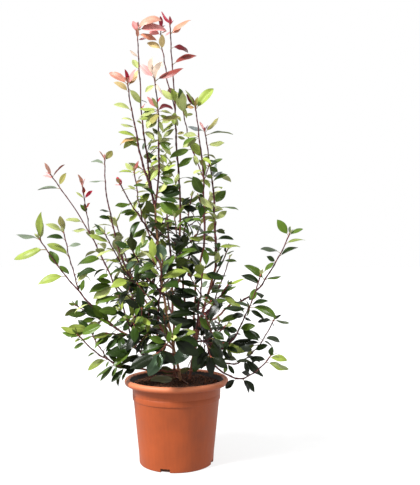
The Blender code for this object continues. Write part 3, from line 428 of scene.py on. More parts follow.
# Leaves of the shoots that stand clear of the rest, as they look, in millimetres: height of the foot
# on its shoot, across and height of the tip, tint, degrees that the blade is turned from edge-on to
# facing the viewer, and degrees of arch. Above the height given first, a shoot has no others
DRAWN_LEAVES = {
    "crown_left_tall main": (700, (
        (908, -95, 935, "pink", 70, 20), (896, -84, 920, "salmon", 74, 10), (912, -53, 944, "red", 45, 40),
        (910, -31, 934, "blush", 50, 120), (914, -22, 913, "pink", 70, 80),
        (905, -43, 894, "copper", 60, 60), (894, -65, 898, "maroon", 45, 20),
        (857, -100, 872, "pale", 45, 10), (832, -94, 853, "lime", 76, 15),
        (835, -93, 808, "straw", 66, 20), (698, -46, 679, "fresh", 50, 40),
        (657, -41, 637, "dark", 50, 40), (745, -68, 759, "pink", 40, 10), (768, -63, 762, "deep", 30, 20),
        (715, -85, 722, "lime", 45, 30),
    )),
    "left_upper main": (540, (
        (588, -128, 604, "red", 50, 10), (584, -131, 588, "pink", 40, 15), (586, -119, 600, "red", 40, 10),
    )),
    "left_upper fork 0": (590, (
        (612, -80, 638, "rust", 50, 15), (612, -123, 614, "fresh", 35, 25),
        (611, -110, 633, "lime", 50, 20), (610, -78, 616, "lime", 35, 20),
    )),
    "crown_centre fork 0": (800, (
        (906, -58, 912, "pink", 76, 25), (918, -35, 946, "red", 40, 15), (920, -24, 926, "maroon", 45, 10),
        (909, -21, 914, "salmon", 50, 10), (873, -33, 907, "straw", 78, 15),
        (873, -62, 890, "straw", 66, 30),
    )),
    "crown_centre main": (600, (
        (925, -33, 955, "red", 50, 20), (924, -11, 940, "red", 50, 10), (906, 31, 937, "copper", 58, 50),
        (907, 12, 922, "salmon", 66, 15), (912, -24, 904, "pink", 62, 15),
        (875, 25, 869, "maroon", 60, 110), (843, 43, 861, "rust", 50, 40), (763, -36, 787, "lime", 74, 30),
        (760, -8, 792, "fresh", 70, 10), (646, 22, 657, "fresh", 55, 50), (646, -15, 643, "fresh", 50, 40),
        (690, 18, 684, "lime", 66, 30), (722, -27, 699, "lime", 60, 20), (745, -6, 714, "fresh", 72, 25),
        (735, 10, 722, "lime", 66, 30),
    )),
    "crown_left main": (540, (
        (800, -145, 823, "salmon", 56, 45), (801, -110, 833, "red", 40, 10),
        (798, -87, 832, "pink", 60, 30), (797, -84, 817, "bronze", 50, 15),
        (785, -133, 806, "straw", 72, 50), (792, -78, 760, "lime", 74, 30),
        (745, -134, 757, "lime", 40, 45), (723, -117, 727, "lime", 35, 30),
        (706, -120, 716, "lime", 35, 30), (687, -125, 699, "fresh", 30, 25),
        (681, -121, 670, "bronze", 40, 80), (666, -101, 679, "fresh", 50, 30),
    )),
    "crown_inner_left main": (690, (
        (812, -79, 842, "pink", 72, 20), (810, -52, 860, "pale", 80, 25), (806, 14, 836, "rust", 50, 30),
        (808, -32, 850, "pale", 80, 30), (799, -67, 784, "lime", 74, 20), (802, -30, 778, "pale", 45, 20),
        (750, -63, 774, "pink", 70, 20), (762, -33, 773, "red", 60, 20), (736, -8, 748, "maroon", 44, 150),
        (735, -13, 724, "fresh", 72, 20), (733, -82, 727, "fresh", 60, 25),
        (745, -80, 747, "fresh", 45, 30), (742, -72, 738, "mid", 50, 30), (724, -63, 707, "lime", 72, 20),
        (722, 9, 733, "khaki", 56, 20), (727, -28, 698, "lime", 60, 20), (741, -10, 737, "lime", 45, 60),
        (732, -55, 712, "khaki", 72, 20), (690, -51, 708, "lime", 66, 15), (675, -12, 650, "lime", 55, 20),
        (668, -59, 661, "fresh", 45, 30), (745, -53, 773, "lime", 60, 15),
        (738, -53, 712, "fresh", 60, 15), (695, -49, 705, "dark", 40, 10), (668, -49, 668, "lime", 60, 20),
        (679, -13, 661, "mid", 60, 20), (655, -20, 632, "fresh", 55, 20), (650, -55, 640, "lime", 45, 30),
    )),
    "crown_inner_right main": (660, (
        (748, 79, 791, "fresh", 70, 25), (752, 22, 752, "bronze", 72, 25), (750, 46, 774, "khaki", 60, 15),
        (752, 21, 780, "maroon", 50, 15), (752, 18, 787, "fresh", 35, 10), (690, 14, 693, "lime", 62, 30),
        (687, 12, 668, "lime", 74, 20), (640, 71, 644, "fresh", 55, 40), (638, 86, 635, "dark", 35, 30),
        (645, 60, 612, "fresh", 40, 15),
    )),
    "crown_inner_right fork 0": (620, (
        (733, 2, 784, "lime", 76, 15), (756, 6, 793, "mid", 35, 10), (737, 10, 784, "lime", 50, 15),
        (757, -3, 787, "mid", 60, 10), (735, 35, 737, "lime", 70, 20), (681, 52, 649, "fresh", 76, 20),
        (646, 4, 624, "mid", 60, 30), (648, 43, 643, "deep", 35, 30), (655, 41, 627, "lime", 35, 15),
    )),
    "crown_right main": (640, (
        (698, 49, 722, "pink", 30, 10), (698, 90, 730, "khaki", 44, 15), (699, 24, 710, "frost", 45, 15),
        (692, 120, 694, "mid", 25, 45), (670, 102, 674, "lime", 60, 15), (510, 106, 532, "lime", 65, 20),
        (468, 121, 471, "dark", 32, 40), (452, 136, 454, "fresh", 34, 45),
    )),
    "left_tall main": (500, (
        (606, -281, 634, "blush", 16, 25), (604, -238, 630, "rust", 22, 25),
        (601, -285, 606, "pink", 36, 35), (585, -235, 612, "khaki", 74, 15),
        (578, -295, 576, "sage", 16, 20), (505, -237, 512, "lime", 40, 50),
        (490, -222, 490, "lime", 50, 25), (425, -211, 416, "mid", 48, 90),
    )),
    "left_tall fork 0": (500, (
        (580, -211, 608, "blush", 22, 20), (562, -199, 583, "rust", 40, 10),
        (567, -185, 579, "pale", 50, 15), (558, -179, 575, "red", 55, 10),
        (556, -215, 571, "lime", 25, 20), (526, -205, 545, "mid", 50, 10),
        (526, -197, 548, "dark", 45, 10), (534, -184, 549, "rust", 35, 10),
    )),
    "left_inner main": (500, (
        (640, -165, 659, "blush", 20, 10), (636, -136, 659, "khaki", 76, 15),
        (630, -183, 635, "sage", 30, 50), (593, -186, 593, "sage", 14, 20),
        (530, -163, 532, "dark", 35, 20), (511, -165, 518, "dark", 45, 60),
    )),
    "left_front main": (450, (
        (480, -177, 503, "dark", 40, 40), (478, -172, 492, "mid", 77, 20),
        (478, -141, 487, "fresh", 40, 15), (461, -186, 480, "fresh", 30, 30),
    )),
    "left_outer main": (340, (
        (468, -296, 520, "lime", 40, 15), (470, -286, 529, "fresh", 54, 5),
        (474, -341, 481, "sage", 22, 25), (447, -345, 431, "fresh", 56, 55),
        (412, -268, 447, "mid", 78, 20), (416, -228, 397, "mid", 38, 25),
        (391, -296, 377, "fresh", 62, 50),
    )),
    "left_outer fork 0": (400, (
        (486, -249, 521, "khaki", 30, 15), (484, -279, 502, "lime", 36, 40),
        (468, -276, 475, "dark", 45, 70), (433, -278, 460, "fresh", 20, 50),
        (384, -168, 405, "dark", 40, 90), (455, -204, 459, "sage", 40, 20),
        (375, -185, 412, "lime", 60, 20), (356, -203, 376, "dark", 60, 20),
    )),
    "left_side main": (330, (
        (293, -204, 339, "dark", 35, 10), (318, -205, 315, "dark", 55, 20),
        (312, -230, 308, "mid", 45, 20),
    )),
    "left_low main": (200, (
        (266, -245, 286, "fresh", 40, 20), (266, -243, 273, "mid", 45, 20),
        (264, -226, 262, "mid", 40, 15), (264, -160, 289, "mid", 60, 20),
        (262, -212, 260, "fresh", 40, 15), (260, -217, 252, "fresh", 35, 20),
        (250, -218, 240, "mid", 35, 20), (230, -188, 221, "mid", 30, 20),
        (215, -188, 192, "fresh", 35, 20),
    )),
    "right_outer main": (360, (
        (478, 214, 513, "mid", 78, 15), (481, 241, 499, "sage", 35, 10), (477, 269, 493, "mid", 28, 50),
        (460, 274, 469, "fresh", 30, 60), (432, 258, 454, "dark", 20, 15),
        (440, 178, 449, "slate", 22, 60), (425, 191, 434, "dark", 72, 15), (422, 186, 402, "mid", 52, 50),
        (385, 145, 418, "mid", 62, 60), (370, 138, 395, "dark", 45, 60), (385, 226, 392, "mid", 30, 30),
        (333, 144, 315, "mid", 40, 50),
    )),
    "right_upper main": (300, (
        (440, 106, 462, "dark", 40, 20), (438, 122, 446, "mid", 30, 20), (425, 128, 424, "mid", 25, 40),
        (390, 112, 392, "dark", 30, 30), (355, 106, 362, "mid", 35, 30),
    )),
    "right_middle main": (270, (
        (336, 166, 366, "mid", 84, 10), (328, 195, 339, "dark", 24, 30), (326, 129, 334, "mid", 36, 40),
        (325, 211, 304, "mid", 30, 60), (306, 118, 306, "dark", 40, 50), (310, 92, 293, "mid", 24, 50),
        (272, 112, 283, "dark", 60, 20), (270, 98, 281, "dark", 45, 20),
    )),
    "right_low main": (240, (
        (297, 172, 295, "deep", 30, 20), (296, 241, 292, "mid", 18, 15), (295, 206, 287, "deep", 30, 15),
        (297, 224, 311, "deep", 32, 15), (258, 145, 276, "dark", 50, 30), (258, 202, 242, "dark", 34, 40),
        (262, 220, 252, "slate", 45, 60), (254, 132, 240, "deep", 34, 20),
        (245, 101, 238, "fresh", 50, 15),
    )),
    "right_rim main": (150, (
        (212, 156, 215, "deep", 40, 45), (217, 235, 212, "fresh", 45, 60),
        (208, 239, 192, "fresh", 40, 20), (180, 145, 211, "deep", 65, 20), (192, 184, 178, "deep", 50, 20),
        (165, 155, 144, "deep", 35, 15), (165, 166, 146, "deep", 30, 15), (185, 103, 203, "mid", 55, 20),
        (168, 104, 153, "deep", 55, 20),
    )),
}

# Leaves of the body that stand out, in millimetres: where the foot and the tip show, across and up,
# then tint, facing and arch as above. Each stands on the shoot that passes nearest to its foot
BODY_LEAVES = (
    (-68, 493, -71, 457, "lime", 55, 15), (-42, 465, -28, 421, "sheen", 75, 20),
    (-38, 391, -16, 419, "sheen", 60, 15), (-40, 393, -63, 416, "fresh", 35, 30),
    (-29, 384, 22, 401, "fresh", 40, 45), (-36, 359, -12, 367, "lime", 50, 50),
    (-102, 376, -53, 369, "fresh", 35, 60), (-100, 374, -63, 355, "mid", 60, 40),
    (-110, 384, -140, 367, "fresh", 45, 50), (-74, 431, -85, 384, "dark", 50, 15),
    (-40, 476, -23, 452, "fresh", 60, 20), (-78, 474, -108, 456, "sheen", 50, 30),
    (-78, 435, -100, 440, "dark", 60, 30), (-112, 427, -142, 425, "fresh", 35, 60),
    (-102, 410, -87, 425, "sheen", 65, 20), (-119, 401, -144, 395, "mid", 25, 20),
    (-38, 335, -53, 344, "mid", 50, 30), (-74, 331, -104, 335, "mid", 45, 40),
    (-12, 433, 34, 448, "mid", 35, 30), (58, 467, 26, 474, "fresh", 40, 30),
    (56, 469, 73, 474, "fresh", 40, 20), (28, 472, 49, 444, "dark", 45, 15),
    (56, 452, 77, 440, "dark", 50, 40), (64, 450, 64, 416, "mid", 55, 15),
    (83, 416, 90, 444, "lime", 70, 15), (86, 418, 100, 438, "dark", 45, 15),
    (86, 408, 100, 425, "sheen", 50, 15), (15, 427, 32, 397, "fresh", 45, 10),
    (32, 401, 75, 386, "fresh", 40, 40), (66, 397, 100, 386, "dark", 45, 30),
    (64, 365, 66, 382, "sage", 65, 10), (81, 372, 98, 378, "lime", 45, 20),
    (81, 372, 69, 378, "lime", 40, 20), (83, 359, 120, 372, "dark", 45, 30),
    (96, 342, 113, 367, "mid", 70, 25), (49, 346, 13, 363, "dark", 40, 50),
    (28, 348, 58, 327, "dark", 60, 30), (54, 344, 77, 329, "fresh", 35, 20),
    (109, 335, 141, 318, "fresh", 40, 30), (158, 329, 124, 335, "dark", 30, 30),
    (-61, 295, -98, 274, "mid", 75, 20), (-29, 321, -19, 284, "sheen", 60, 15),
    (-36, 321, -57, 325, "fresh", 40, 30), (-29, 257, -59, 263, "mid", 35, 20),
    (-36, 257, -76, 225, "dark", 45, 20), (-21, 255, 24, 265, "mid", 35, 45),
    (-23, 252, -10, 276, "mid", 65, 15), (-21, 233, -61, 180, "sheen", 80, 15),
    (-63, 229, -98, 193, "deep", 65, 20), (-98, 238, -134, 201, "mid", 50, 15),
    (-87, 210, -121, 201, "deep", 40, 15), (32, 261, -8, 203, "sheen", 75, 15),
    (-19, 210, -40, 199, "dark", 35, 10), (7, 312, 45, 312, "deep", 35, 20),
    (64, 269, 49, 306, "mid", 65, 15), (122, 304, 81, 286, "dark", 20, 30),
    (152, 308, 118, 304, "deep", 35, 40), (96, 282, 113, 265, "dark", 40, 10),
    (135, 272, 111, 282, "dark", 60, 40), (147, 280, 171, 255, "dark", 55, 15),
    (126, 235, 160, 255, "deep", 55, 15), (69, 269, 100, 259, "dark", 55, 25),
    (69, 263, 96, 240, "sheen", 50, 15), (64, 246, 100, 201, "deep", 80, 15),
    (96, 235, 64, 201, "deep", 65, 20), (100, 238, 130, 231, "dark", 30, 30),
    (107, 206, 122, 184, "dark", 50, 15), (-50, 300, -80, 318, "dark", 45, 30),
    (-100, 262, -140, 262, "dark", 40, 30), (-120, 250, -152, 232, "dark", 45, 20),
    (-60, 262, -94, 255, "deep", 50, 25), (-130, 290, -165, 300, "mid", 40, 40),
    (-150, 262, -176, 238, "mid", 40, 20), (-105, 222, -140, 216, "mid", 35, 20),
    (20, 290, 52, 276, "deep", 50, 30), (-70, 210, -104, 214, "deep", 60, 20),
    (10, 240, 46, 220, "deep", 70, 20), (-40, 250, -30, 215, "deep", 70, 20),
    (-53, 740, -66, 709, "lime", 65, 20), (-42, 738, -55, 716, "khaki", 60, 20),
    (-46, 722, -64, 705, "straw", 35, 15), (-60, 742, -78, 729, "lime", 50, 20),
    (-2, 735, 0, 712, "lime", 60, 10), (-12, 716, -30, 697, "fresh", 50, 15),
    (-14, 728, -32, 716, "lime", 60, 20), (-51, 705, -38, 678, "lime", 50, 20),
    (-68, 698, -47, 682, "lime", 50, 25), (-68, 680, -72, 661, "sage", 50, 10),
    (-36, 664, -57, 660, "fresh", 30, 45), (-57, 646, -62, 632, "mid", 50, 10),
    (-38, 640, -55, 625, "fresh", 60, 15), (-34, 623, -55, 595, "fresh", 70, 15),
    (-34, 616, -51, 600, "mid", 45, 10), (22, 657, -14, 644, "mid", 60, 30),
    (2, 697, 16, 697, "khaki", 60, 10), (41, 690, 13, 671, "mid", 30, 15),
    (20, 645, 45, 631, "lime", 50, 15), (52, 645, 73, 630, "fresh", 65, 15),
    (84, 634, 88, 614, "mid", 70, 10), (79, 601, 84, 632, "frost", 45, 10),
    (81, 603, 98, 614, "frost", 40, 15), (84, 593, 109, 608, "mid", 40, 40),
    (56, 627, 61, 606, "mid", 55, 10), (56, 601, 71, 580, "fresh", 60, 20),
    (56, 562, 36, 606, "mid", 75, 15), (41, 563, 75, 534, "lime", 50, 20),
    (62, 542, 78, 527, "mid", 55, 15), (83, 544, 103, 576, "mid", 75, 15),
    (-80, 556, -93, 528, "lime", 60, 15), (-80, 578, -104, 584, "lime", 50, 20),
    (-66, 586, -92, 585, "mid", 35, 10), (-44, 566, -70, 580, "dark", 55, 25),
    (-60, 566, -78, 560, "mid", 60, 10), (-40, 566, -14, 594, "lime", 65, 20),
    (-25, 572, 3, 580, "dark", 65, 10), (-14, 592, 2, 573, "mid", 60, 15),
    (-30, 612, -2, 630, "fresh", 60, 20), (-22, 604, -2, 618, "mid", 65, 10),
    (-10, 614, -2, 586, "lime", 60, 15), (-33, 549, 9, 528, "mid", 75, 20),
    (-25, 560, 3, 550, "dark", 60, 10), (9, 540, 28, 562, "dark", 50, 15),
    (11, 533, 34, 556, "dark", 50, 15), (18, 528, 43, 534, "deep", 60, 15),
    (30, 540, 50, 518, "dark", 55, 40), (-34, 537, 2, 520, "lime", 55, 20),
    (-106, 538, -131, 541, "mid", 50, 15), (-90, 534, -120, 524, "mid", 50, 30),
    (-52, 524, -30, 506, "fresh", 55, 20), (-151, 299, -181, 331, "mid", 75, 20),
    (-123, 342, -170, 335, "mid", 35, 60), (-151, 365, -175, 342, "lime", 65, 20),
    (-157, 363, -187, 357, "mid", 45, 20), (-153, 369, -172, 386, "mid", 50, 20),
    (-110, 357, -134, 355, "dark", 40, 20), (-115, 333, -140, 320, "mid", 60, 20),
    (-119, 314, -146, 312, "mid", 55, 20), (-95, 312, -123, 299, "mid", 55, 20),
    (-172, 299, -202, 293, "mid", 50, 20), (-138, 280, -176, 261, "fresh", 55, 25),
    (-136, 246, -157, 262, "mid", 70, 20), (-130, 240, -157, 223, "dark", 70, 20),
    (-142, 214, -151, 198, "mid", 50, 10), (-136, 193, -172, 176, "mid", 15, 20),
    (-136, 191, -163, 169, "mid", 35, 15), (-129, 195, -138, 178, "mid", 55, 10),
    (10, 340, 42, 352, "deep", 60, 20), (36, 334, 8, 324, "deep", 60, 20),
    (0, 330, 26, 312, "dark", 60, 20), (12, 378, 40, 370, "dark", 55, 20),
    (170, 258, 194, 247, "dark", 45, 20), (-84, 522, -100, 508, "fresh", 60, 15),
    (-74, 486, -92, 474, "mid", 60, 20), (14, 756, 20, 728, "lime", 66, 15),
    (-108, 262, -134, 248, "mid", 50, 20), (-182, 264, -204, 254, "mid", 35, 20),
    (-110, 193, -138, 167, "dark", 40, 10), (-102, 189, -115, 170, "mid", 35, 10),
    (-119, 229, -135, 203, "fresh", 60, 15), (-100, 214, -134, 203, "mid", 50, 20),
    (-115, 278, -92, 297, "dark", 65, 20), (-140, 300, -160, 320, "mid", 50, 20),
    (-90, 330, -112, 342, "deep", 55, 20), (137, 328, 100, 322, "dark", 35, 20),
    (160, 317, 187, 299, "deep", 40, 20), (186, 259, 204, 243, "dark", 65, 30),
    (139, 278, 168, 287, "mid", 66, 40), (150, 276, 174, 254, "dark", 60, 20),
    (112, 269, 97, 281, "deep", 50, 30), (160, 258, 130, 246, "slate", 60, 40),
    (131, 234, 101, 231, "dark", 45, 30), (147, 212, 176, 180, "slate", 65, 25),
    (156, 189, 138, 188, "deep", 50, 10), (73, 270, 100, 256, "mid", 55, 20),
    (81, 259, 98, 239, "slate", 55, 15), (70, 225, 50, 196, "deep", 60, 20),
    (90, 225, 108, 196, "deep", 60, 20), (40, 240, 62, 215, "deep", 60, 20),
    (-4, 302, 30, 292, "deep", 70, 10), (34, 302, 6, 284, "deep", 70, 10),
    (-2, 288, 26, 276, "deep", 65, 15), (-112, 240, -150, 222, "dark", 72, 15),
    (-118, 226, -146, 240, "dark", 65, 15), (-195, 290, -232, 283, "fresh", 60, 15),
    (-190, 282, -235, 270, "mid", 55, 15), (-82, 530, -112, 524, "mid", 65, 20),
    (-88, 516, -106, 532, "fresh", 60, 15), (-4, 226, -36, 208, "deep", 70, 15),
    (-20, 222, -4, 204, "deep", 65, 10), (-205, 355, -198, 386, "mid", 65, 15),
    (-4, 345, 12, 328, "deep", 65, 10), (-44, 366, -62, 348, "mid", 60, 15),
    (76, 628, 98, 642, "mid", 60, 30), (-16, 566, 10, 572, "dark", 70, 10),
    (-8, 706, -30, 688, "lime", 65, 15), (-85, 196, -110, 186, "deep", 60, 15),
    (-60, 470, -84, 452, "mid", 60, 20), (-140, 256, -167, 246, "mid", 60, 15),
    (-58, 566, -80, 548, "fresh", 60, 15), (100, 228, 112, 214, "deep", 60, 10),
    (-112, 290, -136, 284, "dark", 55, 15), (-6, 366, 14, 360, "deep", 60, 15),
    (-22, 604, -6, 590, "mid", 60, 10), (-146, 334, -166, 322, "mid", 60, 15),
    (18, 746, 30, 760, "khaki", 60, 10), (140, 308, 158, 296, "deep", 45, 20),
    (-46, 535, -30, 520, "fresh", 60, 10), (-148, 395, -166, 388, "mid", 60, 15),
    (-60, 400, -78, 412, "mid", 60, 15), (-30, 340, -50, 326, "deep", 65, 15),
    (-60, 380, -44, 362, "dark", 60, 20),
)

# Where the sky shows between the leaves, across and up, with the reach that no other leaf enters
OPEN_PLACES = (
    (0.109, 0.431, 0.018), (0.105, 0.395, 0.018), (0.122, 0.412, 0.018), (0.028, 0.569, 0.016),
    (0.064, 0.565, 0.012), (0.111, 0.291, 0.014), (0.105, 0.314, 0.014), (0.103, 0.261, 0.010),
    (0.154, 0.240, 0.010), (0.124, 0.355, 0.010), (0.120, 0.206, 0.009), (0.056, 0.376, 0.009),
    (-0.112, 0.495, 0.016), (-0.166, 0.280, 0.012), (-0.225, 0.331, 0.012), (-0.104, 0.438, 0.011),
    (-0.198, 0.474, 0.010), (-0.080, 0.640, 0.012), (-0.108, 0.320, 0.010), (-0.117, 0.365, 0.010),
    (-0.144, 0.467, 0.010), (-0.142, 0.380, 0.010), (-0.189, 0.231, 0.010), (-0.153, 0.418, 0.010),
    (0.022, 0.214, 0.010), (0.020, 0.389, 0.008), (-0.040, 0.175, 0.014), (-0.030, 0.188, 0.010),
    (0.094, 0.308, 0.012), (0.069, 0.323, 0.010), (0.200, 0.231, 0.010), (-0.155, 0.282, 0.010),
)

# Shares of the main stems that stay in sight, and how drawn leaves stand forward or back
SHOWN_STEMS = {"stem_left": (0.20, 1.0), "stem_right": (0.42, 1.0)}
STEM_CLEARANCE = 0.009
OPEN_SHARES = np.array((0.30, 0.55, 0.80, 1.0))
BODY_DEPTH = 0.030
BODY_PULL = 0.12
BODY_NEARER = (-0.022, -0.002)
DEPTH_STEPS = (0, -0.007, 0.007, -0.014, 0.014, -0.021, 0.021, -0.028, 0)
SHOWN_SHARE = 0.34
DRAWN_FACE_SHARE = 0.95
DRAWN_DEPTH = (-0.016, 0.016)
FOOT_PULL = 0.1


# Geometry

def linear(display):
    """Linear colour of a display colour from 0 to 255."""
    shares = [channel / 255 for channel in display]
    return [c / 12.92 if c <= 0.04045 else ((c + 0.055) / 1.055) ** 2.4 for c in shares]


def place(across, up, depth):
    """The point that shows at (across, up) on the axis plane, moved back along its line of sight."""
    reach = 1 + depth / VIEW_DISTANCE
    return Vector((
        EYE_ACROSS + (across - EYE_ACROSS) * reach,
        depth,
        EYE_HEIGHT + (up - EYE_HEIGHT) * reach,
    ))


def seen(point):
    """Across and height on the axis plane at which a point shows."""
    reach = 1 + point.y / VIEW_DISTANCE
    return EYE_ACROSS + (point.x - EYE_ACROSS) / reach, EYE_HEIGHT + (point.z - EYE_HEIGHT) / reach


def metres(lengths):
    """Lengths of a table that is in millimetres, in metres."""
    return [length / PER_METRE for length in lengths]


def square_to(vector, axis):
    """The unit vector that is left of vector once its share along axis is taken out."""
    return (vector - axis * vector.dot(axis)).normalized()


def side_of(tangent):
    """A unit vector square to a tangent, the same each time for the same tangent."""
    return square_to(UP if abs(tangent.x) > NEAR_ACROSS else ACROSS, tangent)


def tangents_along(points):
    """The direction of a line at each of its points."""
    ends = [points[0], *points, points[-1]]
    return [(after - before).normalized() for before, after in zip(ends, ends[2:])]


class Path:
    """A smooth tapering line from a foot to a tip, which strays a little between them."""

    def __init__(self, foot, tip, bend, swing, radii, step, stray=0.0, seed=""):
        chord = tip - foot
        lean = chord.length * (swing * ACROSS - bend * UP)
        leave, arrive = chord + lean, chord - lean
        draw = random.Random(seed)
        side = side_of(chord.normalized())
        other = side.cross(chord).normalized()
        phases = [draw.uniform(0, 2 * math.pi) for _ in range(4)]
        steps = max(LEAST_STEPS, round(chord.length / step))
        self.points = []
        for index in range(steps + 1):
            t = index / steps
            point = (
                foot * (2 * t**3 - 3 * t**2 + 1)
                + leave * (t**3 - 2 * t**2 + t)
                + tip * (3 * t**2 - 2 * t**3)
                + arrive * (t**3 - t**2)
            )
            calm = stray * math.sin(math.pi * t)
            slow, quick = SLOW_WAVES * math.pi * t, QUICK_WAVES * math.pi * t
            for way, first, second in ((side, *phases[:2]), (other, *phases[2:])):
                point += way * calm * (math.sin(slow + first) + QUICK_SHARE * math.sin(quick + second))
            self.points.append(point)
        self.radii = [radii[0] + (radii[1] - radii[0]) * index / steps for index in range(steps + 1)]
        self.measure()

    def measure(self):
        """Finds the tangents and the length of the line as it runs now."""
        self.tangents = tangents_along(self.points)
        self.length = sum((b - a).length for a, b in zip(self.points, self.points[1:]))

    def kink(self, stations, reach):
        """Moves the line aside at each station, another way each time, as a shoot grows."""
        side = side_of((self.points[-1] - self.points[0]).normalized())
        other = side.cross(self.points[-1] - self.points[0]).normalized()
        shares = [0, *sorted(stations), 1]
        turns = [GOLDEN_ANGLE * number for number in range(len(stations))]
        for way, wave in ((side, math.cos), (other, math.sin)):
            moves = [0, *(reach * wave(turn) for turn in turns), 0]
            for index, point in enumerate(self.points):
                point += way * float(np.interp(index / (len(self.points) - 1), shares, moves))
        self.measure()

    def at(self, share):
        """Point, tangent and radius at a share of the way from the foot."""
        place_along = min(max(share, 0), 1) * (len(self.points) - 1)
        index = min(int(place_along), len(self.points) - 2)
        part = place_along - index
        return (
            self.points[index].lerp(self.points[index + 1], part),
            self.tangents[index].lerp(self.tangents[index + 1], part).normalized(),
            self.radii[index] * (1 - part) + self.radii[index + 1] * part,
        )

    def share_at(self, height, across):
        """The share of the way from the foot where the path shows at a height, on across's side."""
        spots = [seen(point) for point in self.points]
        gaps = [abs(spot[1] - height) + FOOT_PULL * abs(spot[0] - across) for spot in spots]
        return gaps.index(min(gaps)) / (len(self.points) - 1)

    def widen(self, gain, reach, centre=0.0):
        """Thickens the path by a share round a place along it."""
        for index in range(len(self.points)):
            away = (index / (len(self.points) - 1) - centre) * self.length
            self.radii[index] *= 1 + gain * math.exp(-((away / reach) ** 2))

    def tube(self, sides, relief=None):
        """Corners and faces of the closed tube. Relief scales its radius by place along and turn."""
        return tube(self.points, self.tangents, self.radii, sides, relief)


def ring_faces(rings, sides):
    """Quads between rings of corners, and triangles that join the ends to the two corners after them."""
    around = np.arange(sides)
    after = (around + 1) % sides
    first = np.arange(rings - 1)[:, None] * sides
    near, far = first + around, first + after
    quads = np.stack([near, far, far + sides, near + sides], axis=-1).reshape(-1, 4)
    last = (rings - 1) * sides
    foot = np.stack([after, around, np.full(sides, last + sides)], axis=-1)
    end = np.stack([last + around, last + after, np.full(sides, last + sides + 1)], axis=-1)
    return quads, np.concatenate([foot, end])


def tube(points, tangents, radii, sides, relief=None):
    """Corners, quads and end triangles of a closed tube through points."""
    turns = np.arange(sides) * 2 * math.pi / sides
    side = side_of(tangents[0])
    rings = []
    for index, (point, tangent, radius) in enumerate(zip(points, tangents, radii)):
        side = square_to(side, tangent)
        other = tangent.cross(side)
        scale = radius if relief is None else radius * relief[index]
        spokes = np.outer(np.cos(turns), side) + np.outer(np.sin(turns), other)
        rings.append(np.array(point) + spokes * np.reshape(scale, (-1, 1)))
    return np.concatenate([*rings, [points[0]], [points[-1]]]), *ring_faces(len(points), sides)


def lump(fineness):
    """Corners and faces of a round lump of one unit."""
    shape = bmesh.new()
    bmesh.ops.create_icosphere(shape, subdivisions=fineness, radius=1)
    corners = np.array([corner.co for corner in shape.verts])
    faces = np.array([[corner.index for corner in face.verts] for face in shape.faces])
    shape.free()
    return corners, faces


def placed(name, data):
    """A new object in the scene."""
    made = bpy.data.objects.new(name, data)
    bpy.context.scene.collection.objects.link(made)
    return made


class Batch:
    """Closed shapes gathered for one joined mesh."""

    def __init__(self):
        self.corners, self.quads, self.triangles = [], [], []
        self.slots, self.places = [], []
        self.count = 0
        self.sources = set()

    def add(self, corners, quads, triangles, source, slots=None, places=None):
        """Takes one shape of a node, with its quads' material slots and its corners' pattern places."""
        self.corners.append(corners)
        self.quads.append(np.asarray(quads, int).reshape(-1, 4) + self.count)
        self.triangles.append(np.asarray(triangles, int).reshape(-1, 3) + self.count)
        self.slots.append(np.zeros(len(quads), int) if slots is None else slots)
        self.places.append(np.zeros((len(corners), 2)) if places is None else places)
        self.count += len(corners)
        self.sources.add(source)

    def size(self):
        """How many triangles the mesh will have."""
        return 2 * sum(len(quads) for quads in self.quads) + sum(len(t) for t in self.triangles)

    def build(self, name, materials, crease):
        """The joined mesh as an object of the plant, smooth but for its creases."""
        quads = np.concatenate(self.quads)
        triangles = np.concatenate(self.triangles)
        loops = np.concatenate([quads.ravel(), triangles.ravel()])
        starts = np.concatenate([
            np.arange(len(quads)) * 4,
            len(quads) * 4 + np.arange(len(triangles)) * 3,
        ])
        slots = np.concatenate([*self.slots, np.zeros(len(triangles), int)])
        mesh = bpy.data.meshes.new(name)
        mesh.vertices.add(self.count)
        mesh.vertices.foreach_set("co", np.concatenate(self.corners).ravel())
        mesh.loops.add(len(loops))
        mesh.loops.foreach_set("vertex_index", loops)
        mesh.polygons.add(len(starts))
        mesh.polygons.foreach_set("loop_start", starts)
        mesh.polygons.foreach_set("material_index", slots)
        for material in materials:
            mesh.materials.append(material)
        layer = mesh.uv_layers.new(name="places")
        layer.uv.foreach_set("vector", np.concatenate(self.places)[loops].ravel())
        mesh.update(calc_edges=True)
        mesh.validate()
        mesh.shade_smooth()
        mesh.set_sharp_from_angle(angle=crease)
        built = placed(name, mesh)
        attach(built, "root")
        return built

    def show(self, name, materials, crease, slot):
        """Builds the mesh in the place of the nodes that its shapes belong to."""
        built = self.build(name, materials, crease)
        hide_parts(*sorted(self.sources))


# Blades

def blade_faces():
    """Faces and material slots of a blade: its top, then its underside, which share the rim."""
    rows, columns = BLADE_ROWS + 1, len(BLADE_ACROSS)
    top = np.arange(rows * columns).reshape(rows, columns)
    under = top.copy()
    inner = (rows - 2) * (columns - 2)
    under[1:-1, 1:-1] = rows * columns + np.arange(inner).reshape(rows - 2, columns - 2)
    above = np.stack([top[:-1, :-1], top[1:, :-1], top[1:, 1:], top[:-1, 1:]], axis=-1)
    below = np.stack([under[:-1, :-1], under[:-1, 1:], under[1:, 1:], under[1:, :-1]], axis=-1)
    quads = np.concatenate([above.reshape(-1, 4), below.reshape(-1, 4)])
    slots = np.repeat([0, 1], len(quads) // 2)
    return quads, slots


BLADE_QUADS, BLADE_SLOTS = blade_faces()


def blade_outline():
    """Half-width of a blade along it, as a share of its greatest."""
    outline = BLADE_ALONG**BASE_POWER * (1 - BLADE_ALONG) ** END_POWER
    return LEAST_WIDTH + (1 - LEAST_WIDTH) * outline / outline.max()


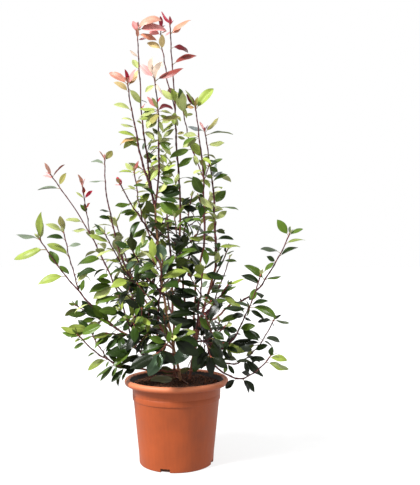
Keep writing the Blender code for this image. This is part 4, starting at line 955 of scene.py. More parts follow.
def blade_teeth():
    """Share of the half-width that each corner keeps, less between the teeth of the rim."""
    teeth = np.ones((BLADE_ROWS + 1, len(BLADE_ACROSS)))
    teeth[1::2, [0, -1]] = 1 - TOOTH_DEPTH
    return teeth


BLADE_OUTLINE = blade_outline()
BLADE_TEETH = blade_teeth()


class Leaf:
    """An arched, folded blade on a petiole, in a frame of its own: forward, left and up."""

    def __init__(self, origin, forward, normal, length, droop, tint, draw):
        self.origin = np.array(origin)
        self.forward = np.array(forward)
        self.normal = np.array(normal)
        self.left = np.array(normal.cross(forward))
        self.length = length
        self.droop = droop
        self.tint = tint
        slenderness = draw.uniform(*(YOUNG_SLENDERNESS if tint in YOUNG_TINTS else SLENDERNESS))
        self.width = slenderness * length
        self.fold = draw.uniform(*FOLD)
        self.curl = draw.uniform(*CURL)
        self.wave = draw.uniform(*WAVE)
        self.waves = draw.uniform(*WAVES)
        self.phase = draw.uniform(0, 2 * math.pi)
        self.twist = draw.uniform(*TWIST)
        self.sickle = draw.uniform(*SICKLE)

    def midrib(self, shares):
        """Points, directions and normals at shares of the leaf's length."""
        turn = self.droop * shares
        sine, cosine = np.sin(turn)[:, None], np.cos(turn)[:, None]
        bow = self.length / self.droop
        points = self.origin + self.forward * bow * sine - self.normal * bow * (1 - cosine)
        directions = self.forward * cosine - self.normal * sine
        normals = self.normal * cosine + self.forward * sine
        return points, directions, normals

    def middle(self):
        """The point about half way along the leaf."""
        return Vector(self.midrib(MIDDLE)[0][0])

    def blade(self):
        """Corners of the blade's top, row by row, and those of its underside within the rim."""
        shares = PETIOLE_SHARE + (1 - PETIOLE_SHARE) * BLADE_ALONG
        points, _, normals = self.midrib(shares)
        points = points + self.left * (self.sickle * self.length * BLADE_ALONG**2)[:, None]
        twist = (self.twist * BLADE_ALONG)[:, None]
        lefts = self.left * np.cos(twist) + normals * np.sin(twist)
        normals = normals * np.cos(twist) - self.left * np.sin(twist)
        half = self.width / 2
        aside = half * BLADE_OUTLINE[:, None] * BLADE_ACROSS * BLADE_TEETH
        ripple = np.sin(self.phase + 2 * math.pi * self.waves * BLADE_ALONG)[:, None]
        lift = (
            self.fold * np.abs(aside)
            - self.curl * aside**2 / half
            + self.wave * ripple * BLADE_ACROSS**3 * half
        )
        lift[:, MIDRIB] -= MIDRIB_GROOVE
        body = BLADE_THICKNESS * (1 - BLADE_ACROSS**2) * BLADE_OUTLINE[:, None]
        body[:, MIDRIB] += MIDRIB_GROOVE
        top = points[:, None] + lefts[:, None] * aside[..., None] + normals[:, None] * lift[..., None]
        under = top - normals[:, None] * body[..., None]
        return top, under[1:-1, 1:-1]

    def petiole(self):
        """The closed tube of the stalk, from inside the twig to inside the blade."""
        shares = np.linspace(0, PETIOLE_SHARE * PETIOLE_REACH, len(PETIOLE_TAPER))
        points, directions, _ = self.midrib(shares)
        radii = PETIOLE_RADIUS * self.length / USUAL_LEAF * PETIOLE_TAPER
        lines = [Vector(direction) for direction in directions]
        return tube([Vector(point) for point in points], lines, radii, PETIOLE_SIDES)

    def sheet(self):
        """A coarse sheet with the blade's shape, for telling what it crosses."""
        top = self.blade()[0][::BLADE_ROWS // SHEET_ROWS, ::MIDRIB]
        corners = [Vector(corner) for corner in top.reshape(-1, 3)]
        rows, columns = top.shape[:2]
        starts = [row * columns + column for row in range(rows - 1) for column in range(columns - 1)]
        return corners, [(at, at + columns, at + columns + 1, at + 1) for at in starts]


def measured(corners, faces):
    """Centre, reach and search tree of a shape."""
    points = np.array(corners)
    centre = points.mean(axis=0)
    reach = np.linalg.norm(points - centre, axis=1).max()
    return centre, reach, BVHTree.FromPolygons([tuple(point) for point in points], faces)


class Obstacles:
    """What new growth has to stay clear of, kept so that what is near is quickly found."""

    def __init__(self):
        self.trees, self.owners = [], []
        self.centres = np.zeros((MOST_OBSTACLES, 3))
        self.reaches = np.zeros(MOST_OBSTACLES)

    def add(self, owner, corners, faces):
        """Keeps one shape of an owner."""
        count = len(self.trees)
        self.centres[count], self.reaches[count], tree = measured(corners, faces)
        self.trees.append(tree)
        self.owners.append(owner)

    def crossed(self, owner, corners, faces):
        """True if a shape cuts one of another owner's."""
        count = len(self.trees)
        centre, reach, tree = measured(corners, faces)
        away = np.linalg.norm(self.centres[:count] - centre, axis=1)
        near = np.nonzero(away < self.reaches[:count] + reach)[0]
        return any(self.owners[index] != owner and tree.overlap(self.trees[index]) for index in near)


def coarse(path):
    """Corners and faces of a three-sided tube on some of the points of a path."""
    some = slice(None, None, COARSE_STEP)
    corners, quads, _ = tube(path.points[some], path.tangents[some], path.radii[some], COARSE_SIDES)
    return corners, [tuple(quad) for quad in quads.tolist()]


def has_room(corners):
    """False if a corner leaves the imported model's reach, or comes too near the soil in the pot."""
    return all(
        all(low - REACH_SLACK < place < high + REACH_SLACK
            for low, place, high in zip(CAD_BOX[0], corner, CAD_BOX[1]))
        and (corner.z > SOIL_LEVEL + SOIL_CLEARANCE or math.hypot(corner.x, corner.y) > POT_BOX[1].x)
        for corner in corners
    )


# Growth

def limb_paths():
    """Every limb's path by name."""
    paths = {}
    for limb in LIMBS:
        radii = (limb.radius * WOOD_SHARE, limb.tip_radius)
        if limb.parent:
            foot, _, parent_radius = paths[limb.parent].at(limb.at)
            radii = (min(radii[0], THINNER * parent_radius), radii[1])
        else:
            across, up, depth = limb.foot
            foot = Vector((across, depth, up))
        tip = place(*limb.tip)
        path = Path(foot, tip, limb.bend, limb.swing, radii, LIMB_STEP, LIMB_STRAY, limb.name)
        if limb.parent:
            path.widen(COLLAR_GAIN, COLLAR_LENGTH)
        else:
            path.widen(FLARE - 1, FLARE_LENGTH)
        paths[limb.name] = path
    return paths


def grow_shoot(mass, shape, twig, seed, foot, radius):
    """A main shoot or a fork of a mass, with a kink at each leaf."""
    tip, radii = place(*shape.tip), (radius, TWIG_TIP_RADIUS)
    path = Path(foot, tip, shape.bend, shape.swing, radii, TWIG_STEP, TWIG_STRAY, seed)
    path.kink(twig_stations(mass, twig, path), KINK)
    return path


def main_twigs(mass, limbs):
    """The main shoot of a mass and its forks, by name."""
    foot, _, radius = limbs[mass.parent].at(mass.at)
    thickest = radius if mass.at >= 1 else THINNER * radius
    twigs = {"main": grow_shoot(mass, mass, "main", mass.name, foot, thickest)}
    for number, fork in enumerate(mass.forks):
        foot, _, radius = twigs["main"].at(fork.at)
        seed = f"{mass.name} fork {number}"
        thickest = min(FORK_RADIUS, THINNER * radius)
        twigs[f"fork {number}"] = grow_shoot(mass, fork, f"fork {number}", seed, foot, thickest)
    return twigs


def grow_spur(mass, path, number, count):
    """A short side twig of a mass, where its seeded rule puts it."""
    draw = random.Random(f"{mass.name} spur {number}")
    share = SPUR_FIRST + SPUR_SPAN * (number + draw.uniform(*SPUR_STRAY)) / count
    point, tangent, radius = path.at(share)
    azimuth = GOLDEN_ANGLE * number + 2 * math.pi * draw.random()
    outward = Matrix.Rotation(azimuth, 3, tangent) @ side_of(tangent)
    heading = (tangent * SPUR_ALONG + outward + UP * SPUR_RISE).normalized()
    tip = point + heading * SPUR_LENGTH * draw.uniform(*SPUR_STRETCH)
    radii = (min(SPUR_RADIUS, THINNER * radius), SPUR_TIP_RADIUS)
    return Path(point, tip, SPUR_BEND, 0, radii, TWIG_STEP, TWIG_STRAY / 2, f"{mass.name} {number}")


def clear_above(shoot):
    """The height above which a shoot has only its drawn leaves."""
    return DRAWN_LEAVES[shoot][0] / PER_METRE if shoot in DRAWN_LEAVES else CAD_BOX[1].z


def spur_twigs(mass, main, obstacles):
    """Those spurs of a mass that have room, by name."""
    twigs = {}
    shoot = f"{mass.name} main"
    count = (mass.spurs + mass.fine_spurs) * SPUR_GAIN
    for number in range(count):
        spur = grow_spur(mass, main, number, count)
        if seen(spur.points[-1])[1] > clear_above(shoot) or closes(spur.points[::SPUR_CHECK]):
            continue
        if has_room(spur.points) and not obstacles.crossed(shoot, *coarse(spur)):
            twigs[f"spur {number}"] = spur
    return twigs


def twig_stations(mass, twig, path):
    """Shares of a twig's length where leaves stand, from the tip down, closest at the tip."""
    leafless, bare = mass.leafless, mass.bare
    if twig != "main":
        leafless, bare = (FORK_LEAFLESS if twig.startswith("fork") else SPUR_LEAFLESS), (0, 0)
    stations = []
    back = TIP_INSET
    while back < path.length * (1 - leafless):
        share = 1 - back / path.length
        if not bare[0] < share < bare[1]:
            stations.append(share)
        back += mass.spacing * SPACING_SHARE * min(1, TIP_SPACING + SPACING_GAIN * len(stations))
    return stations


def tint_of(mass, twig, path, share, point, draw):
    """The tint of a leaf: young ones take their mass's, others go by height, lighter far out on the left
    where the key light falls (painted light) and darker deep in the lower body (painted shade).
    """
    from_tip = (1 - share) * path.length
    rank = np.interp(point.z, RANK_HEIGHTS, RANK_LEVELS) + draw.uniform(*RANK_STRAY)
    if not mass.spurs and not twig.startswith("spur"):
        if from_tip < mass.young:
            return draw.choice(mass.tints)
        if from_tip < TIP_REACH + mass.young:
            rank += TIP_RANK
    reach = math.hypot(point.x, point.y)
    # Painted light: far out on the left, where the key light falls, a leaf takes a lighter tint
    if reach > LIT_SIDE_DISTANCE:
        rank += LIT_SIDE_RANKS[point.x > 0]
    # Painted shade: near the axis, low in the body, a leaf takes a darker tint
    if reach < INNER_SHADE_DISTANCE and point.z < INNER_SHADE_HEIGHT:
        rank += INNER_SHADE_RANK
    return RANKS[int(min(max(rank, 0), len(RANKS) - 1))]


def grow_leaf(mass, twig, path, index, share, turn):
    """The leaf at one station of a twig, turned about it by one nudge."""
    draw = random.Random(f"{mass.name} {twig} {index}")
    age = min(1, index / YOUNG_LEAVES)
    azimuth = GOLDEN_ANGLE * index + draw.uniform(-AZIMUTH_STRAY, AZIMUTH_STRAY)
    tilt = math.radians(YOUNG_TILT + TILT_GAIN * age + draw.uniform(*TILT_STRAY))
    length = mass.leaf * LEAF_SHARE * (YOUNG_SIZE + SIZE_GAIN * age) * draw.uniform(*SIZE_STRAY)
    droop = math.radians(YOUNG_DROOP + DROOP_GAIN * age + draw.uniform(*DROOP_STRAY))
    roll = math.radians(draw.uniform(*ROLL_STRAY))
    point, tangent, _ = path.at(share)
    outward = Matrix.Rotation(azimuth + turn, 3, tangent) @ side_of(tangent)
    forward = tangent * math.cos(tilt) + outward * math.sin(tilt)
    inner = tangent * math.sin(tilt) - outward * math.cos(tilt)
    normal = Matrix.Rotation(roll, 3, forward) @ square_to(inner + UPWARD * UP, forward)
    tint = tint_of(mass, twig, path, share, point, draw)
    return Leaf(point, forward, normal, length, droop, tint, draw)


def tip_leaves(mass, path):
    """The smallest leaves, still upright round a shoot's end bud."""
    draw = random.Random(f"{mass.name} {path.length}")
    point, tangent, _ = path.at(1)
    leaves = []
    for index in range(TIP_LEAVES):
        outward = Matrix.Rotation(GOLDEN_ANGLE * index, 3, tangent) @ side_of(tangent)
        tilt = math.radians(draw.uniform(*TIP_TILT))
        forward = tangent * math.cos(tilt) + outward * math.sin(tilt)
        normal = tangent * math.sin(tilt) - outward * math.cos(tilt)
        length = draw.uniform(*TIP_SIZE)
        leaves.append(Leaf(point, forward, normal, length, TIP_DROOP, mass.tints[0], draw))
    return leaves


def drawn_leaf(origin, tip, tint, face, arch, draw):
    """One leaf as it was drawn, from its foot to its tip."""
    chord = tip - origin
    along = chord.normalized()
    upright = math.copysign(1, along.x) * Vector((-along.z, 0, along.x))
    turned_by = math.radians(DRAWN_FACE_SHARE * face)
    facing = square_to(upright * math.cos(turned_by) + NEARER * math.sin(turned_by), along)
    half = math.radians(arch) / 2
    forward = along * math.cos(half) + facing * math.sin(half)
    normal = facing * math.cos(half) - along * math.sin(half)
    length = chord.length * half / math.sin(half)
    leaf = Leaf(origin, forward, normal, length, 2 * half, tint, draw)
    slenderness = BROAD_SLENDERNESS if face >= BROAD_FACE else DRAWN_SLENDERNESS
    leaf.width = length * draw.uniform(*slenderness)
    return leaf


def every_twig(twigs):
    """Each twig with its mass and its path."""
    for mass in MASSES:
        for twig, path in twigs[mass.name].items():
            yield mass, twig, path


def nearest_foot(twigs, across, up):
    """The point of the front shoots that shows nearest to a place, with its shoot."""
    best = None
    for mass, twig, path in every_twig(twigs):
        for point in path.points:
            if point.y > BODY_DEPTH:
                continue
            shown = seen(point)
            cost = math.hypot(shown[0] - across, shown[1] - up) + BODY_PULL * point.y
            if best is None or cost < best[0]:
                best = (cost, point, f"{mass.name} {twig}")
    return best[1:]


def add_drawn(leaves, obstacles, shoot, origin, tip, look, nearness, draw):
    """Adds one drawn leaf to a shoot, its tip at the first depth that keeps it clear of the others."""
    first = draw.uniform(*nearness)
    state = draw.getstate()
    for step in DEPTH_STEPS:
        draw.setstate(state)
        leaf = drawn_leaf(origin, place(*tip, origin.y + (first + step)), *look, draw)
        corners, faces = leaf.sheet()
        if not obstacles.crossed(shoot, corners, faces):
            break
    obstacles.add(f"{shoot} drawn {len(leaves)}", corners, faces)
    leaves.append((shoot.split()[0], leaf))


def drawn_leaves(twigs, obstacles):
    """All the drawn leaves, with the node that each belongs to."""
    leaves = []
    for shoot, (_, rows) in DRAWN_LEAVES.items():
        name, twig = shoot.split(" ", 1)
        path = twigs[name][twig]
        for number, (*places, tint, face, arch) in enumerate(rows):
            draw = random.Random(f"{shoot} drawn {number}")
            foot_up, *tip = metres(places)
            origin = path.at(path.share_at(foot_up, tip[0]))[0]
            add_drawn(leaves, obstacles, shoot, origin, tip, (tint, face, arch), DRAWN_DEPTH, draw)
    for number, (*places, tint, face, arch) in enumerate(BODY_LEAVES):
        draw = random.Random(f"body leaf {number}")
        foot_across, foot_up, *tip = metres(places)
        origin, shoot = nearest_foot(twigs, foot_across, foot_up)
        add_drawn(leaves, obstacles, shoot, origin, tip, (tint, face, arch), BODY_NEARER, draw)
    return leaves


def shown_spots(leaves, limbs):
    """Where drawn leaves and main stems show: across, height, depth, and the reach kept open."""
    spots = []
    for name, (low, high) in SHOWN_STEMS.items():
        path = limbs[name]
        for share in np.arange(low, high, STEM_CLEARANCE / path.length):
            point = path.at(float(share))[0]
            spots.append((*seen(point), point.y, STEM_CLEARANCE))
    for _, leaf in leaves:
        middle = leaf.middle()
        spots.append((*seen(middle), middle.y, SHOWN_SHARE * leaf.length))
    return spots


def closes(points):
    """True if one of the points would show in one of the places that stay open."""
    shown = [seen(Vector(point)) for point in points]
    return any(
        math.hypot(across - open_across, up - open_up) < reach
        for across, up in shown
        for open_across, open_up, reach in OPEN_PLACES
    )


def hides(leaf, spots):
    """True if a leaf would stand before one that was drawn."""
    middle = leaf.middle()
    across, up = seen(middle)
    return any(
        middle.y < depth and math.hypot(across - spot_across, up - spot_up) < reach
        for spot_across, spot_up, depth, reach in spots
    )


def grow_leaves(mass, twigs, obstacles, spots):
    """The leaves of one mass. Each is turned about its twig until it's clear, or else left out."""
    leaves = []
    for twig, path in twigs.items():
        owner = f"{mass.name} {twig}"
        if not twig.startswith("spur"):
            leaves += tip_leaves(mass, path)
        for index, share in enumerate(twig_stations(mass, twig, path)):
            if seen(path.at(share)[0])[1] > clear_above(owner):
                continue
            for turn in NUDGES:
                leaf = grow_leaf(mass, twig, path, index, share, turn)
                corners, faces = leaf.sheet()
                blocked = hides(leaf, spots) or closes(leaf.midrib(OPEN_SHARES)[0])
                blocked = blocked or obstacles.crossed(owner, corners, faces)
                if has_room(corners) and not blocked:
                    leaves.append(leaf)
                    obstacles.add(f"{owner} leaf {index}", corners, faces)
                    break
    return leaves


# Materials

class Nodes:
    """A material's node tree with a principled shader, built by short calls."""

    def __init__(self, name, specular):
        self.material = bpy.data.materials.new(name)
        self.material.use_nodes = True
        self.tree = self.material.node_tree
        self.shader = self.tree.nodes["Principled BSDF"]
        self.shader.inputs["Specular IOR Level"].default_value = specular
        self.coordinates = self.node("TexCoord").outputs
        self.places = self.coordinates["Object"]

    def node(self, kind, values=None, **settings):
        """A new node with its settings and its unlinked inputs' values."""
        made = self.tree.nodes.new(f"ShaderNode{kind}")
        for setting, value in settings.items():
            setattr(made, setting, value)
        for socket, value in (values or {}).items():
            if isinstance(value, bpy.types.NodeSocket):
                self.tree.links.new(value, made.inputs[socket])
            else:
                made.inputs[socket].default_value = value
        return made

    def noise(self, vector, scale, detail=3.0, roughness=0.5):
        """The value of a noise texture."""
        values = {"Vector": vector, "Scale": scale, "Detail": detail, "Roughness": roughness}
        return self.node("TexNoise", values).outputs["Fac"]

    def spread(self, value, low, high, to_low=0.0, to_high=1.0):
        """A value's range mapped onto another."""
        made = self.node("MapRange", {"Value": value})
        for socket, limit in zip(made.inputs[1:5], (low, high, to_low, to_high)):
            socket.default_value = limit
        return made.outputs["Result"]

    def math(self, operation, first, second=0.0):
        """The result of one step of arithmetic."""
        made = self.node("Math", {0: first, 1: second}, operation=operation)
        return made.outputs["Value"]

    def plus(self, first, second):
        """A sum."""
        return self.math("ADD", first, second)

    def times(self, first, second):
        """A product."""
        return self.math("MULTIPLY", first, second)

    def mix(self, factor, first, second):
        """A colour between two."""
        linked = bpy.types.NodeSocket
        first, second = (end if isinstance(end, linked) else (*end, 1) for end in (first, second))
        made = self.node("Mix", {"Factor": factor, 6: first, 7: second}, data_type="RGBA")
        return made.outputs[2]

    def drawn_out(self, share):
        """Places that make a pattern longer upwards, as they change by a share of the height."""
        return self.node("Mapping", {"Vector": self.places, "Scale": (1, 1, share)}).outputs["Vector"]

    def island(self):
        """A number between 0 and 1 for each shape of a piece."""
        return self.node("NewGeometry").outputs["Random Per Island"]

    def link(self, value, socket):
        """Feeds a shader input."""
        self.tree.links.new(value, self.shader.inputs[socket])

    def bump(self, height, strength, distance):
        """Feeds the shader's normal from a height."""
        values = {"Height": height, "Strength": strength, "Distance": distance}
        self.link(self.node("Bump", values).outputs["Normal"], "Normal")


def scaled(colour, gain):
    """A colour made lighter or darker."""
    return [min(1.0, channel * gain) for channel in colour]


LEAF_SPECULAR = 0.16
VEIN_COUNT = 11
VEIN_SLANT = 0.55
TOP_VEIN, UNDER_VEIN = 1.7, 1.3
UNDER_ROUGHNESS = 0.55


def leaf_material(name, display, light, roughness, vein):
    """A leaf's face: mottled, a little different on each leaf, with a paler midrib and side veins."""
    made = Nodes(name, LEAF_SPECULAR)
    colour = scaled(linear(display), light)
    spot = made.node("SeparateXYZ", {"Vector": made.coordinates["UV"]}).outputs
    aside = made.math("ABSOLUTE", made.math("SUBTRACT", spot["X"], 0.5))
    mottle = made.noise(made.places, 60, 4)
    shade = made.plus(made.spread(made.island(), 0, 1, -0.35, 0.35), mottle)
    body = made.mix(made.spread(shade, 0.1, 0.9), scaled(colour, 0.62), scaled(colour, 1.42))
    rib = made.spread(aside, 0.010, 0.035, 1, 0)
    chevron = made.math("SUBTRACT", spot["Y"], made.times(aside, VEIN_SLANT))
    waves = made.math("SINE", made.times(chevron, 2 * math.pi * VEIN_COUNT))
    veins = made.math("MAXIMUM", made.spread(waves, 0.86, 1, 0, 0.30), rib)
    made.link(made.mix(made.times(veins, 0.6), body, scaled(colour, vein)), "Base Color")
    made.link(made.spread(mottle, 0.3, 0.7, roughness - 0.06, roughness + 0.08), "Roughness")
    made.bump(made.math("SUBTRACT", made.times(mottle, 0.5), veins), 0.22, 0.0006)
    return made.material


# Display colours of each wood's furrows and ridges, and how fine its streaks are
WOODS = {
    "bud_scales": ((96, 40, 36), (150, 78, 60), 1400),
    "twig_bark": ((42, 18, 24), (88, 40, 40), 900),
    "petiole_skin": ((98, 92, 48), (124, 98, 64), 700),
    "red_bark": ((70, 36, 32), (132, 80, 62), 700),
    "tan_bark": ((92, 62, 44), (160, 118, 86), 700),
    "dry_twig": ((84, 50, 42), (128, 86, 66), 700),
}
BARK_SPECULAR = 0.22


def bark_material(name):
    """Young bark: two tones in streaks along the shoot, with pale pores."""
    made = Nodes(name, BARK_SPECULAR)
    low, high, scale = WOODS[name]
    low, high = linear(low), linear(high)
    streaks = made.noise(made.drawn_out(0.25), scale, 5, 0.6)
    blotches = made.noise(made.places, scale / 6, 3)
    tone = made.mix(made.spread(made.plus(streaks, blotches), 0.7, 1.3), low, high)
    pores = made.spread(made.noise(made.places, scale * 2.2, 1), 0.66, 0.70)
    made.link(made.mix(made.times(pores, 0.5), tone, scaled(high, 1.7)), "Base Color")
    made.link(made.spread(streaks, 0.3, 0.7, 0.48, 0.72), "Roughness")
    made.bump(made.plus(streaks, pores), 0.5, 0.0004)
    return made.material


# Stage

KEY_TOWARDS = (-0.82, -0.62, 1.00)
KEY_STRENGTH = 8.0
BACK_TOWARDS = (0.70, 0.60, 0.80)
BACK_STRENGTH = 0.6
SUN_ANGLE = math.radians(14)
DIM_TOWARDS = (0.75, -0.65, 0.0)
DIM_RANGE = (0.30, 0.95, 1.0, 0.88)
FLOOR_REACH = 60.0
FLOOR_CORNERS = [(x * FLOOR_REACH, y * FLOOR_REACH, 0) for x, y in ((-1, -1), (1, -1), (1, 1), (-1, 1))]
FLOOR_LIGHT = (0.18, 0.18, 0.18)
FLOOR_GLOW = 0.78


def add_camera():
    """The camera at the photograph's standpoint."""
    data = bpy.data.cameras.new("camera")
    data.lens = LENS
    data.shift_y = FRAME_RISE
    camera = placed("camera", data)
    camera.location = (EYE_ACROSS, -VIEW_DISTANCE, EYE_HEIGHT)
    camera.rotation_euler = (math.pi / 2, 0, 0)
    bpy.context.scene.camera = camera


def add_sun(name, towards, strength):
    """A far soft light that shines from a direction."""
    data = bpy.data.lights.new(name, "SUN")
    data.energy = strength
    data.angle = SUN_ANGLE
    placed(name, data).rotation_euler = Vector(towards).to_track_quat("Z", "Y").to_euler()


def add_floor():
    """A wide pale floor that glows a little, as white card does in a bright room."""
    made = Nodes("studio_floor", 0.1)
    tone = made.noise(made.places, 3, 2)
    made.link(made.mix(tone, scaled(FLOOR_LIGHT, 0.99), FLOOR_LIGHT), "Base Color")
    made.shader.inputs["Roughness"].default_value = 0.9
    made.shader.inputs["Emission Color"].default_value = (1, 1, 1, 1)
    made.shader.inputs["Emission Strength"].default_value = FLOOR_GLOW
    mesh = bpy.data.meshes.new("studio_floor")
    mesh.from_pydata(FLOOR_CORNERS, [], [(0, 1, 2, 3)])
    mesh.materials.append(made.material)
    placed("studio_floor", mesh)


def add_sky():
    """A white sky that is a little dimmer on the right."""
    world = bpy.data.worlds.new("studio_sky")
    world.use_nodes = True
    nodes, links = world.node_tree.nodes, world.node_tree.links
    background = nodes["Background"]
    background.inputs["Color"].default_value = (1, 1, 1, 1)
    places = nodes.new("ShaderNodeTexCoord")
    towards = nodes.new("ShaderNodeVectorMath")
    towards.operation = "DOT_PRODUCT"
    towards.inputs[1].default_value = Vector(DIM_TOWARDS).normalized()
    strength = nodes.new("ShaderNodeMapRange")
    for name, value in zip(("From Min", "From Max", "To Min", "To Max"), DIM_RANGE):
        strength.inputs[name].default_value = value
    links.new(places.outputs["Generated"], towards.inputs[0])
    links.new(towards.outputs["Value"], strength.inputs["Value"])
    links.new(strength.outputs["Result"], background.inputs["Strength"])
    bpy.context.scene.world = world
    bpy.context.scene.view_settings.view_transform = "Standard"


def add_stage():
    """The floor, the sky, a soft key light from the upper left and a weak light from behind."""
    add_floor()
    add_sky()
    add_sun("key_light", KEY_TOWARDS, KEY_STRENGTH)
    add_sun("back_light", BACK_TOWARDS, BACK_STRENGTH)


# Plant

LEAF_CREASE = math.radians(100)
WOOD_CREASE = math.radians(80)
LEAF_PIECE_LIMIT = 190000


def blade_places():
    """Pattern places of a blade's corners: across and along."""
    across, along = np.meshgrid((BLADE_ACROSS + 1) / 2, BLADE_ALONG)
    top = np.stack([across, along], axis=-1)
    return np.concatenate([top.reshape(-1, 2), top[1:-1, 1:-1].reshape(-1, 2)])


def leaf_batches(leaves):
    """Blades joined by tint, in as many batches as the limit on triangles asks."""
    batches = {}
    places = blade_places()
    for source, leaf in leaves:
        group = batches.setdefault(leaf.tint, [Batch()])
        if group[-1].size() > LEAF_PIECE_LIMIT:
            group.append(Batch())
        top, under = leaf.blade()
        corners = np.concatenate([top.reshape(-1, 3), under.reshape(-1, 3)])
        group[-1].add(corners, BLADE_QUADS, [], source, BLADE_SLOTS, places)
    return batches


def make_leaves(leaves):
    """The joined pieces of leaves, one or more for each tint."""
    for tint, group in leaf_batches(leaves).items():
        look = TINTS[tint]
        top = leaf_material(f"leaf_{tint}", look.top, look.light, look.roughness, TOP_VEIN)
        under = leaf_material(f"leaf_{tint}_under", look.under, look.light, UNDER_ROUGHNESS, UNDER_VEIN)
        for number, batch in enumerate(group):
            batch.show(f"leaves_{tint}_{number}", (top, under), LEAF_CREASE, "leaves")


def bud(point, forward, radii, unit):
    """Corners of a pointed bud that stands on a point, from those of a round lump."""
    side = side_of(forward)
    frame = np.array((side, forward.cross(side), forward))
    shape = unit * radii
    shape[:, :2] *= 1 - BUD_NARROWING * np.clip(unit[:, 2:], 0, 1)
    return shape @ frame + np.array(point + forward * radii[2] * BUD_SEAT)


def make_buds(twigs, leaves):
    """The buds: one in the axil of each leaf, and one at the end of each shoot."""
    unit, faces = lump(BUD_FINENESS)
    batch = Batch()
    for source, leaf in leaves:
        outward = Vector(leaf.forward * BUD_LEAN + leaf.normal).normalized()
        batch.add(bud(Vector(leaf.origin), outward, BUD_RADII, unit), [], faces, source)
    for mass, _, path in every_twig(twigs):
        end = bud(path.points[-1], path.tangents[-1], TIP_BUD_RADII, unit)
        batch.add(end, [], faces, mass.name)
    batch.show("buds", (bark_material("bud_scales"),), math.pi, "young_bark")


def make_twigs(twigs):
    """The joined shoots of all masses, swollen where leaves stand."""
    batch = Batch()
    for mass, twig, path in every_twig(twigs):
        for share in twig_stations(mass, twig, path):
            path.widen(NODE_SWELL, NODE_REACH, share)
        batch.add(*path.tube(SPUR_SIDES if twig.startswith("spur") else TWIG_SIDES), mass.name)
    batch.show("twigs", (bark_material("twig_bark"),), WOOD_CREASE, "young_bark")


def make_petioles(leaves):
    """The joined stalks of the leaves."""
    batch = Batch()
    for source, leaf in leaves:
        batch.add(*leaf.petiole(), source)
    batch.show("petioles", (bark_material("petiole_skin"),), WOOD_CREASE, "leaves")


def limb_relief(path, sides, seed):
    """Radius shares of a limb's bark: shallow ridges, and a scar where each leaf once stood."""
    draw = random.Random(seed)
    count = len(path.points)
    along = np.linspace(0, path.length, count)[:, None]
    turns = (np.arange(sides) * 2 * math.pi / sides)[None, :]
    relief = np.ones((count, sides))
    for ridges in RIDGE_COUNTS:
        phase = draw.uniform(0, 2 * math.pi)
        relief += BARK_RIDGES * np.sin(ridges * turns + draw.uniform(*RIDGE_PITCH) * along + phase)
    for number in range(int(path.length / SCAR_SPACING)):
        beyond = along - SCAR_SPACING * (number + draw.uniform(*SCAR_STRAY))
        beside = np.abs((turns - GOLDEN_ANGLE * number + math.pi) % (2 * math.pi) - math.pi)
        relief += SCAR_HEIGHT * np.exp(-((beyond / SCAR_LENGTH) ** 2) - (beside / SCAR_BREADTH) ** 2)
    return relief


def make_limbs(limbs):
    """The stems and boughs with their bark's relief, joined by their bark's colour."""
    for tone in ("red", "tan"):
        batch = Batch()
        for limb in LIMBS:
            if limb.bark == tone:
                path = limbs[limb.name]
                relief = limb_relief(path, LIMB_SIDES, limb.name)
                batch.add(*path.tube(LIMB_SIDES, relief), limb.name)
        batch.show(f"limbs_{tone}", (bark_material(f"{tone}_bark"),), WOOD_CREASE, "young_bark")


def plant():
    """Grows the whole plant and makes its pieces."""
    obstacles = Obstacles()
    limbs = limb_paths()
    for name, path in limbs.items():
        obstacles.add(name, *coarse(path))
    twigs = {mass.name: main_twigs(mass, limbs) for mass in MASSES}
    for mass, twig, path in every_twig(twigs):
        obstacles.add(f"{mass.name} {twig}", *coarse(path))
    for mass in MASSES:
        spurs = spur_twigs(mass, twigs[mass.name]["main"], obstacles)
        for twig, path in spurs.items():
            obstacles.add(f"{mass.name} {twig}", *coarse(path))
        twigs[mass.name].update(spurs)
    leaves = drawn_leaves(twigs, obstacles)
    spots = shown_spots(leaves, limbs)
    leaves += litter()
    for mass in MASSES:
        grown = grow_leaves(mass, twigs[mass.name], obstacles, spots)
        leaves += [(mass.name, leaf) for leaf in grown]
    make_limbs(limbs)
    make_twigs(twigs)
    make_petioles(leaves)
    make_buds(twigs, leaves)
    make_leaves(leaves)


# Pot

POT_HEIGHT = POT_BOX[1].z
RIM_RADIUS = POT_BOX[1].x
BEAD_WIDTH = 0.0115
BEAD_HEIGHT = 0.013
BEAD_START = math.radians(-100)
BEAD_SWEEP = math.radians(285)
BEAD_STEPS = 30
COLLAR_RADIUS = 0.0937
COLLAR_FOOT = 0.133
GROOVE_HEIGHT = 0.146
GROOVE_DEPTH = 0.0005
WALL_TOP_RADIUS = 0.0907
HEEL_HEIGHT = 0.022
HEEL_RADIUS = 0.0795
FOOT_RADIUS = 0.0783
FOOT_BEVEL = 0.003
BEVEL_STEPS = 5
WALL = 0.002
FLOOR = 0.003
FILLET = 0.0012
FILLET_STEPS = 4
NOTCH_WIDTH = 0.020
NOTCH_HEIGHT = 0.0082
NOTCH_DEPTH = 0.018
NOTCH_COUNT = 4
NOTCH_TURN = math.radians(-14)
BOX_FACES = ((0, 1, 3, 2), (4, 6, 7, 5), (0, 4, 5, 1), (2, 3, 7, 6), (0, 2, 6, 4), (1, 5, 7, 3))
POT_SIDES = 160
POT_CREASE = math.radians(40)
INNER_RINGS = 12
POT_COLOUR = (0.226, 0.041, 0.0066)
# Painted highlight: a paler colour over the top of the rim's bead, as if the key light caught it, fading
# in between these shares of the bead's height below the top
RIM_HIGHLIGHT_COLOUR = (0.46, 0.150, 0.070)
HIGHLIGHT_SHARES = (0.7, 0.1)
